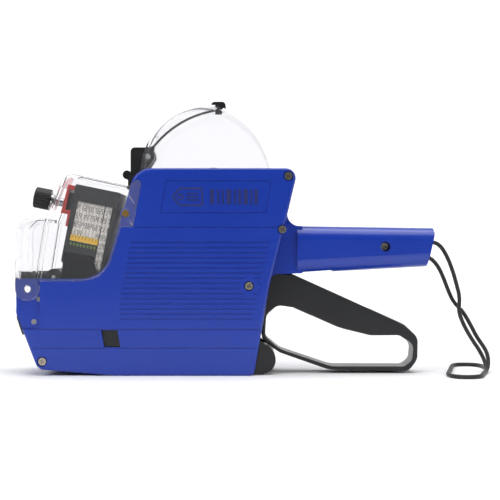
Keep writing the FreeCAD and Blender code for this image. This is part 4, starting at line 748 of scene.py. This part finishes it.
# ------------------------------------------------------------------ wrist cord
@dataclass
class WristCord:
    """The braided loop from the handle's end, down to the bench and back.

    Args:
        diameter: The cord's real diameter.
        length: Its real length from anchor to anchor; not used.
        strands: Strands of the braid that run each way round.
        pitch: Distance along the cord in which a strand goes once round.
        relief: How far the valleys of the braid lie below its crests.
        step: Distance between rings of the tube.
        spokes: Points in a ring.
    """

    diameter: float = 2.4 * MM
    length: float = 0.335
    strands: int = 8
    pitch: float = 9.0 * MM
    relief: float = 0.13 * MM
    step: float = 0.28 * MM
    spokes: int = 32
    reference: tuple[float, float, float] = (0.5, -0.5, 0.7)
    route: ClassVar[list[tuple[float, float, float]]] = [
        (0.1126, -0.0016, 0.0774), (0.1216, -0.0016, 0.0774), (0.1262, -0.0018, 0.0752),
        (0.1298, -0.0020, 0.0696), (0.1330, -0.0022, 0.0620), (0.1356, -0.0024, 0.0530),
        (0.1379, -0.0024, 0.0440), (0.1370, -0.0022, 0.0360), (0.1404, -0.0016, 0.0274),
        (0.1454, -0.0006, 0.0190), (0.1504, 0.0014, 0.0122), (0.1540, 0.0042, 0.0056),
        (0.1556, 0.0098, 0.0014), (0.1560, 0.0182, 0.00125), (0.1548, 0.0266, 0.00125),
        (0.1500, 0.0312, 0.00125), (0.1434, 0.0312, 0.00125), (0.1386, 0.0268, 0.00125),
        (0.1358, 0.0160, 0.00125), (0.1326, 0.0, 0.00125), (0.1288, -0.0160, 0.00125),
        (0.1264, -0.0286, 0.00125), (0.1278, -0.0376, 0.00125), (0.1326, -0.0420, 0.00125),
        (0.1392, -0.0418, 0.00125), (0.1438, -0.0374, 0.00125), (0.1460, -0.0290, 0.00125),
        (0.1494, -0.0174, 0.00125), (0.1526, -0.0084, 0.0014), (0.1548, -0.0032, 0.0050),
        (0.1544, -0.0004, 0.0120), (0.1486, 0.0016, 0.0204), (0.1446, 0.0024, 0.0286),
        (0.1402, 0.0026, 0.0360), (0.1348, 0.0024, 0.0412), (0.1314, 0.0022, 0.0488),
        (0.1286, 0.0020, 0.0564), (0.1256, 0.0018, 0.0626), (0.1218, 0.0016, 0.0670),
        (0.1178, 0.0016, 0.0687), (0.1126, 0.0016, 0.0687),
    ]

    def centreline(self) -> Array:
        """The route's own smooth curve, evenly spaced.

        Returns:
            Points about one step apart, n by 3.
        """
        line = bpy.data.curves.new("cord_route", "CURVE")
        line.dimensions = "3D"
        spline = line.splines.new("NURBS")
        spline.points.add(len(self.route) - 1)
        rows = np.c_[np.array(self.route), np.ones(len(self.route))]
        spline.points.foreach_set("co", rows.ravel())
        spline.order_u = 3
        spline.use_endpoint_u = True
        spline.resolution_u = 24
        holder = bpy.data.objects.new("cord_route", line)
        bpy.context.scene.collection.objects.link(holder)
        bpy.context.view_layer.update()
        read = bpy.data.meshes.new_from_object(holder)
        path = np.zeros(len(read.vertices) * 3)
        read.vertices.foreach_get("co", path)
        path = path.reshape(-1, 3)
        bpy.data.objects.remove(holder)
        bpy.data.meshes.remove(read)
        gone = np.r_[0.0, np.cumsum(np.linalg.norm(np.diff(path, axis=0), axis=1))]
        even = np.linspace(0.0, gone[-1], int(gone[-1] / self.step) + 1)
        return np.stack([np.interp(even, gone, path[:, k]) for k in range(3)], axis=1)

    def build(self) -> bpy.types.Object:
        """Winds the braid round the centreline.

        At distance s and angle a round the cord, a strand of one hand lies where
        cos(n(a + 2 pi s / pitch)) is high and one of the other hand where
        cos(n(a - 2 pi s / pitch)) is. The product of the two cosines taken half as
        fast says which hand is on top, and the radius follows that hand.

        Returns:
            The cord's piece.
        """
        path = self.centreline()
        ahead = np.gradient(path, axis=0)
        ahead /= np.linalg.norm(ahead, axis=1)[:, None]
        fixed = np.array(self.reference) / np.linalg.norm(self.reference)
        side = fixed - ahead * (ahead @ fixed)[:, None]
        side /= np.linalg.norm(side, axis=1)[:, None]
        rise = np.cross(ahead, side)
        angle = np.arange(self.spokes) / self.spokes * 2 * math.pi
        gone = np.arange(len(path)) * self.step
        twist = 2 * math.pi * gone[:, None] / self.pitch
        one = self.strands / 2 * (angle[None] + twist)
        other = self.strands / 2 * (angle[None] - twist)
        over = np.sin(one) * np.sin(other) > 0
        crest = np.where(over, np.abs(np.cos(one)), np.abs(np.cos(other)))
        radius = self.diameter / 2 - self.relief * (1 - crest ** 0.5)
        points = (path[:, None]
                  + side[:, None] * (radius * np.cos(angle))[..., None]
                  + rise[:, None] * (radius * np.sin(angle))[..., None]).reshape(-1, 3)
        faces = grid_faces(len(path), self.spokes, True)
        ends = np.stack([path[0], path[-1]])
        count, last = len(points), (len(path) - 1) * self.spokes
        ring = np.arange(self.spokes)
        after = (ring + 1) % self.spokes
        caps = np.concatenate([
            np.stack([np.full(self.spokes, count), after, ring], axis=1),
            np.stack([np.full(self.spokes, count + 1), last + ring, last + after], axis=1)])
        mesh = bpy.data.meshes.new("braided_cord")
        mesh.from_pydata(np.concatenate([points, ends]).tolist(), [],
                         faces.tolist() + caps.tolist())
        mesh.polygons.foreach_set("use_smooth", np.full(len(mesh.polygons), True))
        chart = mesh.uv_layers.new(name="UVMap")
        column, row = np.tile(ring, len(path) - 1), np.repeat(np.arange(len(path) - 1),
                                                             self.spokes)
        u = np.stack([column, column + 1, column + 1, column], axis=1) / self.spokes
        v = np.stack([row, row, row + 1, row + 1], axis=1) / (len(path) - 1)
        flat = np.stack([u, v], axis=-1).reshape(-1, 2)
        chart.data.foreach_set("uv", np.concatenate(
            [flat, np.zeros((len(caps) * 3, 2))]).ravel())
        mesh.update()
        piece = bpy.data.objects.new("braided_cord", mesh)
        bpy.context.scene.collection.objects.link(piece)
        mesh.materials.append(CORD_NYLON.material())
        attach(piece, "root")
        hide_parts("wrist_cord")
        return piece


# ------------------------------------------------------------------ case
@dataclass
class Case:
    """Both side covers, their screws, and the relief inside the framed panel.

    Args:
        face: Half the case's width, where the relief stands.
        relief: How far the relief stands proud.
    """

    face: float = 25.0 * MM
    relief: float = 0.3 * MM
    covers: tuple[str, ...] = ("left_side_cover", "right_side_cover")
    screws: tuple[str, ...] = ("case_screws",)
    tab_screws: tuple[str, ...] = ("head_cover_screws",)
    tag: list[tuple[float, float, float]] = field(default_factory=lambda: [
        (-31.0, 102.8, 1.2), (-27.0, 98.0, 1.4), (-14.0, 98.0, 1.4), (-14.0, 107.6, 1.4),
        (-27.0, 107.6, 1.4)])
    bars: list[tuple[float, float]] = field(default_factory=lambda: [
        (-8.5, 2.2), (-4.9, 1.1), (-2.2, 1.1), (1.2, 2.6), (4.8, 1.1), (7.5, 1.8), (11.0, 2.6),
        (14.2, 1.1), (17.0, 2.0)])
    bar_low: float = 98.4
    bar_high: float = 107.2

    def dress(self, nodes: dict[str, bpy.types.Object]) -> None:
        """Gives the covers and screws their finishes."""
        dress(nodes, self.covers, BLUE_ABS)
        dress(nodes, self.screws, NICKEL)
        dress(nodes, self.tab_screws, PASSIVATED)

    def build(self, side: Side) -> bpy.types.Object:
        """A tag's outline with its hole, and plain upright bars beside it.

        The tag and its hole are beads along closed lines, and the bars are raised
        pads. All are drawn flat in X and Z and lifted off the case's side.

        Args:
            side: The side of the gun they stand on.

        Returns:
            The relief as one piece.
        """
        outline = rounded_outline(self.tag)
        turn = np.linspace(0.0, 2 * math.pi, 25)[:-1]
        hole = np.stack([-26.4 + 1.5 * np.cos(turn), 102.8 + 1.5 * np.sin(turn)], axis=1)
        row = np.array(self.bars)
        middle = np.full(len(row), (self.bar_low + self.bar_high) / 2)
        tall = np.full(len(row), self.bar_high - self.bar_low)
        lines = np.array([(-19.6, 104.6), (-19.6, 102.8), (-19.6, 101.0)])
        centres = np.concatenate([np.stack([row[:, 0], middle], axis=1), lines])
        sizes = np.concatenate([np.stack([row[:, 1], tall], axis=1),
                                np.array([(7.0, 0.9), (7.0, 0.9), (7.0, 0.9)])])
        high = self.relief / MM
        parts = [beaded_line(outline, 0.55, high, True), beaded_line(hole, 0.4, high, True),
                 raised_pads(centres, sizes, high, 0.2)]
        flat = np.concatenate([p[0] for p in parts])
        up = np.concatenate([p[1] for p in parts])
        first = np.cumsum([0] + [len(p[0]) for p in parts[:-1]])
        faces = np.concatenate([p[2] + n for p, n in zip(parts, first)])
        sign = side.value
        points = np.stack([flat[:, 0] * MM, sign * (self.face - 0.02 * MM + up * MM),
                           flat[:, 1] * MM], axis=1)
        faces = faces if side is Side.LEFT else faces[:, ::-1]
        # the relief's etched blue is darkened as painted shade
        piece = make_piece(f"{side.name.lower()}_case_relief", points, faces, ETCHED_SHADED_ABS,
                           "root")
        return piece


# ------------------------------------------------------------------ print head
@dataclass
class PrintHead:
    """The leaning head: type bands with raised characters, and its coloured marks.

    Positions on the head are given from its top front corner, across its depth and
    down its height, in millimetres.

    Args:
        corner: X and Z of that corner in millimetres.
        lean: The head's lean in degrees.
        band_half: Half the width that a band loops over.
        crown: Depth of a band's top below the corner.
        foot: Depth of its bottom.
        crown_round: Rounding of the loop at the top.
        foot_round: Rounding at the bottom.
        bands: How many bands there are.
        first: Front edge of the first band.
        pitch: Spacing of the bands.
        wide: Width of a band.
        row_pitch: Spacing of the characters along a band.
        figure: Width and height of a character.
        stand: How far the characters and marks stand up.
        marked: How many bands have a dash and a tick beside them.
        dash_down: Depth of the dashes.
        tick_down: Depth of the ticks.
        frame_face: Half the head frame's width, where the dashes stand.
        strip_face: Half the width over the yellow strips, where the ticks stand.
    """

    corner: tuple[float, float] = (-87.5, 110.6)
    lean: float = 11.5
    band_half: float = 16.6
    crown: float = 3.4
    foot: float = 49.0
    crown_round: float = 9.0
    foot_round: float = 4.0
    bands: int = 10
    first: float = 3.1
    pitch: float = 2.0
    wide: float = 1.8
    row_pitch: float = 4.95
    figure: tuple[float, float] = (1.25, 3.1)
    stand: float = 0.12
    marked: int = 8
    dash_down: float = 34.4
    tick_down: float = 30.2
    frame_face: float = 18.0
    strip_face: float = 17.92
    frame: tuple[str, ...] = ("print_head_frame",)
    works: tuple[str, ...] = ("band_core", "selector_wheels", "selector_collar")
    # which strokes make each figure, from 0 to 9
    figures: ClassVar[list[str]] = [
        "1011111", "0000101", "1110110", "1110101", "0101101", "1111001", "1111011",
        "1000101", "1111111", "1111101"]

    def to_frame(self, across: Array, down: Array, aside: Array) -> Array:
        """Turns head positions in millimetres into the gun's frame in metres."""
        lean = math.radians(self.lean)
        x = self.corner[0] + across * math.cos(lean) - down * math.sin(lean)
        z = self.corner[1] - across * math.sin(lean) - down * math.cos(lean)
        return np.stack([x, aside, z], axis=-1) * MM

    def loop(self) -> tuple[Array, Array, Array]:
        """The path of a band's outer face: a rounded rectangle seen along the lean.

        It starts at the foot of the left side and goes up that side, over the top,
        down the right side and back along the foot.

        Returns:
            Distance along the loop, its points (aside, down) and outward normals.
        """
        half, top, low = self.band_half, self.crown, self.foot
        corners = [(-half, low - self.foot_round, 0.0), (-half, top, self.crown_round),
                   (half, top, self.crown_round), (half, low, self.foot_round),
                   (-half, low, self.foot_round)]
        pieces = []
        for x, down, r in corners:
            if r == 0.0:
                pieces.append(np.array([[x, down]]))
                continue
            centre = np.array([x - math.copysign(r, x), down + (r if down == top else -r)])
            start = {(-1, True): math.pi, (1, True): 1.5 * math.pi, (1, False): 0.0,
                     (-1, False): 0.5 * math.pi}[(int(math.copysign(1, x)), down == top)]
            turn = start + np.linspace(0.0, math.pi / 2, 13)
            pieces.append(centre + r * np.stack([np.cos(turn), np.sin(turn)], axis=1))
        path = np.concatenate(pieces)
        step = np.linalg.norm(np.diff(path, axis=0), axis=1)
        gone = np.r_[0.0, np.cumsum(step)]
        even = np.linspace(0.0, gone[-1], 1200)
        points = np.stack([np.interp(even, gone, path[:, k]) for k in (0, 1)], axis=1)
        ahead = np.gradient(points, axis=0)
        ahead /= np.linalg.norm(ahead, axis=1)[:, None]
        return even, points, np.stack([ahead[:, 1], -ahead[:, 0]], axis=1)

    def characters(self) -> bpy.types.Object:
        """Raised inked characters, wrapped round every band.

        A character is a few sloping pads drawn flat, across the band and along the
        loop. Each pad corner then moves to the loop's point at that distance plus
        its height along the loop's outward normal.

        Returns:
            All characters as one piece.
        """
        gone, points, normals = self.loop()
        rows = int(gone[-1] / self.row_pitch)
        row, band = np.meshgrid(np.arange(rows), np.arange(self.bands), indexing="ij")
        row, band = row.ravel(), band.ravel()
        chosen = (row * 7 + band * 3 + row * band) % 10
        table = np.array([[c == "1" for c in f] + [False] for f in self.figures])
        # the last row is the point, which four bands carry in one row of six
        table = np.vstack([table, [False] * 7 + [True]])
        chosen = np.where((row % 6 == 3) & (band >= 3) & (band <= 6), 10, chosen)
        who, which = np.nonzero(table[chosen])
        shapes = np.array([s.value for s in
                           (Stroke.TOP, Stroke.HIGH_LEFT, Stroke.MIDDLE, Stroke.HIGH_RIGHT,
                            Stroke.LOW_RIGHT, Stroke.BOTTOM, Stroke.LOW_LEFT, Stroke.POINT)])
        order = np.array([0, 1, 2, 5, 3, 6, 4, 7])
        part = shapes[order[which]]
        wide, tall = self.figure
        gap = np.where(band[who] >= 8, 0.5, 0.0)
        across = (self.first + band[who] * self.pitch + self.wide / 2 + gap
                  + part[:, 0] * wide)
        along = (row[who] + 0.5) * self.row_pitch + part[:, 1] * tall
        sizes = np.stack([part[:, 2] * wide, part[:, 3] * tall], axis=1)
        flat, up, faces = raised_pads(np.stack([across, along], axis=1), sizes, self.stand,
                                      0.04)
        at = np.stack([np.interp(flat[:, 1], gone, points[:, k]) for k in (0, 1)], axis=1)
        out = np.stack([np.interp(flat[:, 1], gone, normals[:, k]) for k in (0, 1)], axis=1)
        lifted = at + out * (up - 0.01)[:, None]
        solid = self.to_frame(flat[:, 0], lifted[:, 1], lifted[:, 0])
        piece = make_piece("band_characters", solid, faces, INKED_RUBBER, "lever")
        return piece

    def marks(self, side: Side) -> tuple[bpy.types.Object, bpy.types.Object]:
        """Green dashes under the set line and dark ticks on the yellow strip.

        Both are rows of raised pads, one above each band.

        Args:
            side: The side of the head they are on.

        Returns:
            The dashes and the ticks.
        """
        across = self.first + np.arange(self.marked) * self.pitch + self.wide / 2
        made = []
        for name, down, size, face, finish in (
                ("set_dashes", self.dash_down, (1.0, 1.7), self.frame_face, GREEN_MARK),
                ("set_ticks", self.tick_down, (0.25, 1.6), self.strip_face, BLACK_ACETAL)):
            centres = np.stack([across, np.full(self.marked, down)], axis=1)
            flat, up, faces = raised_pads(centres, np.tile(size, (self.marked, 1)), self.stand,
                                          0.05)
            points = self.to_frame(flat[:, 0], flat[:, 1], side.value * (face - 0.01 + up))
            faces = faces[:, ::-1] if side is Side.LEFT else faces
            piece = make_piece(f"{side.name.lower()}_{name}", points, faces, finish, "lever")
            made.append(piece)
        return made[0], made[1]

    def dress(self, nodes: dict[str, bpy.types.Object]) -> None:
        """Gives the head's nodes their finishes."""
        dress(nodes, self.frame, BLACK_ACETAL)
        dress(nodes, self.works, BLACK_ABS)
        dress(nodes, ("selector_knob",), GLOSSY_BLACK)
        dress(nodes, tuple(f"type_band_{i:02d}" for i in range(1, self.bands + 1)),
              BAND_RUBBER)
        dress(nodes, ("set_line_strip",), YELLOW_ABS)
        dress(nodes, ("selector_bracket",), RED_ABS)
        dress(nodes, ("selector_shaft",), BRIGHT_STEEL)


# ------------------------------------------------------------------ clear mouldings
@dataclass
class ClearCovers:
    """Head cover, front door and roll dome, with the thin ribs of the head cover's tab.

    Args:
        face: Half the case's width, where the tab's ribs stand.
        ribs: Ends of each rib, as X and Z pairs in millimetres.
    """

    face: float = 25.0 * MM
    rib_half: float = 0.35
    rib_high: float = 0.3
    covers: tuple[str, ...] = ("head_cover", "front_door", "door_hinge_pins")
    black: tuple[str, ...] = ("cover_strap", "cover_knob", "cover_post")
    ribs: list[tuple[float, float, float, float]] = field(default_factory=lambda: [
        (-56.6, 104.6, -53.0, 99.0), (-56.0, 89.4, -54.0, 86.4)])

    def dress(self, nodes: dict[str, bpy.types.Object]) -> None:
        """Gives the clear parts and the dome's fittings their finishes."""
        dress(nodes, self.covers, CLEAR_STYRENE)
        dress(nodes, ("roll_cover",), CLEAR_DOME)
        dress(nodes, self.black, BLACK_ABS)
        dress(nodes, ("cover_hinge_pin",), BRIGHT_STEEL)

    def build(self, side: Side) -> bpy.types.Object:
        """Low stiffening ribs on the tab: a bead along each straight line.

        Args:
            side: The side of the gun they stand on.

        Returns:
            The ribs as one piece.
        """
        t = np.linspace(0.0, 1.0, 7)[:, None]
        flats, ups, rows, count = [], [], [], 0
        for x0, z0, x1, z1 in self.ribs:
            line = np.array([(x0, z0)]) * (1 - t) + np.array([(x1, z1)]) * t
            flat, up, faces = beaded_line(line, self.rib_half, self.rib_high, False)
            flats.append(flat)
            ups.append(up)
            rows.append(faces + count)
            count += len(flat)
        flat, up, faces = np.concatenate(flats), np.concatenate(ups), np.concatenate(rows)
        points = np.stack([flat[:, 0] * MM, side.value * (self.face + (up - 0.03) * MM),
                           flat[:, 1] * MM], axis=1)
        faces = faces if side is Side.LEFT else faces[:, ::-1]
        piece = make_piece(f"{side.name.lower()}_tab_ribs", points, faces, CLEAR_STYRENE,
                           "root", smooth=True)
        return piece


# ------------------------------------------------------------------ works below
@dataclass
class Works:
    """The lever, the feed, the base and everything else that the frame brings."""

    black: tuple[str, ...] = ("trigger", "applicator_nose", "door_comb", "platen_frame",
                              "ink_holder", "roll_hub")
    acetal: tuple[str, ...] = ("check_pawl", "drive_pawl", "ratchet_wheel", "lever_hub")
    steel: tuple[str, ...] = (
        "pivot_axle", "roll_axle", "feed_axle", "applicator_axle", "inker_hinge_pin",
        "bottom_hinge_pin", "ink_roller_pin", "arm_tie_rod", "return_spring", "peel_bar",
        "label_guide")
    arms: tuple[str, ...] = ("left_lever_arm", "right_lever_arm")
    rubber: tuple[str, ...] = ("applicator_roller", "feed_wheel")

    def dress(self, nodes: dict[str, bpy.types.Object]) -> None:
        """Gives the working parts their finishes."""
        dress(nodes, self.black, BLACK_ABS)
        dress(nodes, self.acetal, BLACK_ACETAL)
        dress(nodes, self.steel, BRIGHT_STEEL)
        dress(nodes, self.arms, BLACKED)
        dress(nodes, self.rubber, ROLLER_RUBBER)
        dress(nodes, ("cover_latch",), GLOSSY_BLACK)
        dress(nodes, ("bottom_cover",), DARK_BLUE_ABS)
        dress(nodes, ("ink_roller",), INK_FELT)
        dress(nodes, ("cord_anchor",), BLACK_ABS)


def report(piece: bpy.types.Object) -> None:
    """Logs a finished piece's name and how many faces it has."""
    LOG.info("%s: %d faces", piece.name, len(piece.data.polygons))


def main() -> None:
    """Builds the scene round the frame, in order."""
    logging.basicConfig(level=logging.INFO, format="%(name)s %(message)s")
    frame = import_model()
    studio = Studio()
    studio.set_camera()
    report(WristCord().build())
    studio.lay_floor()
    studio.light()
    nodes = frame["nodes"]
    case, head, clear = Case(), PrintHead(), ClearCovers()
    for part in (case, head, clear, Works()):
        part.dress(nodes)
    report(head.characters())
    for side in Side:
        report(case.build(side))
        report(clear.build(side))
        for piece in head.marks(side):
            report(piece)


if __name__ == "__main__":
    main()
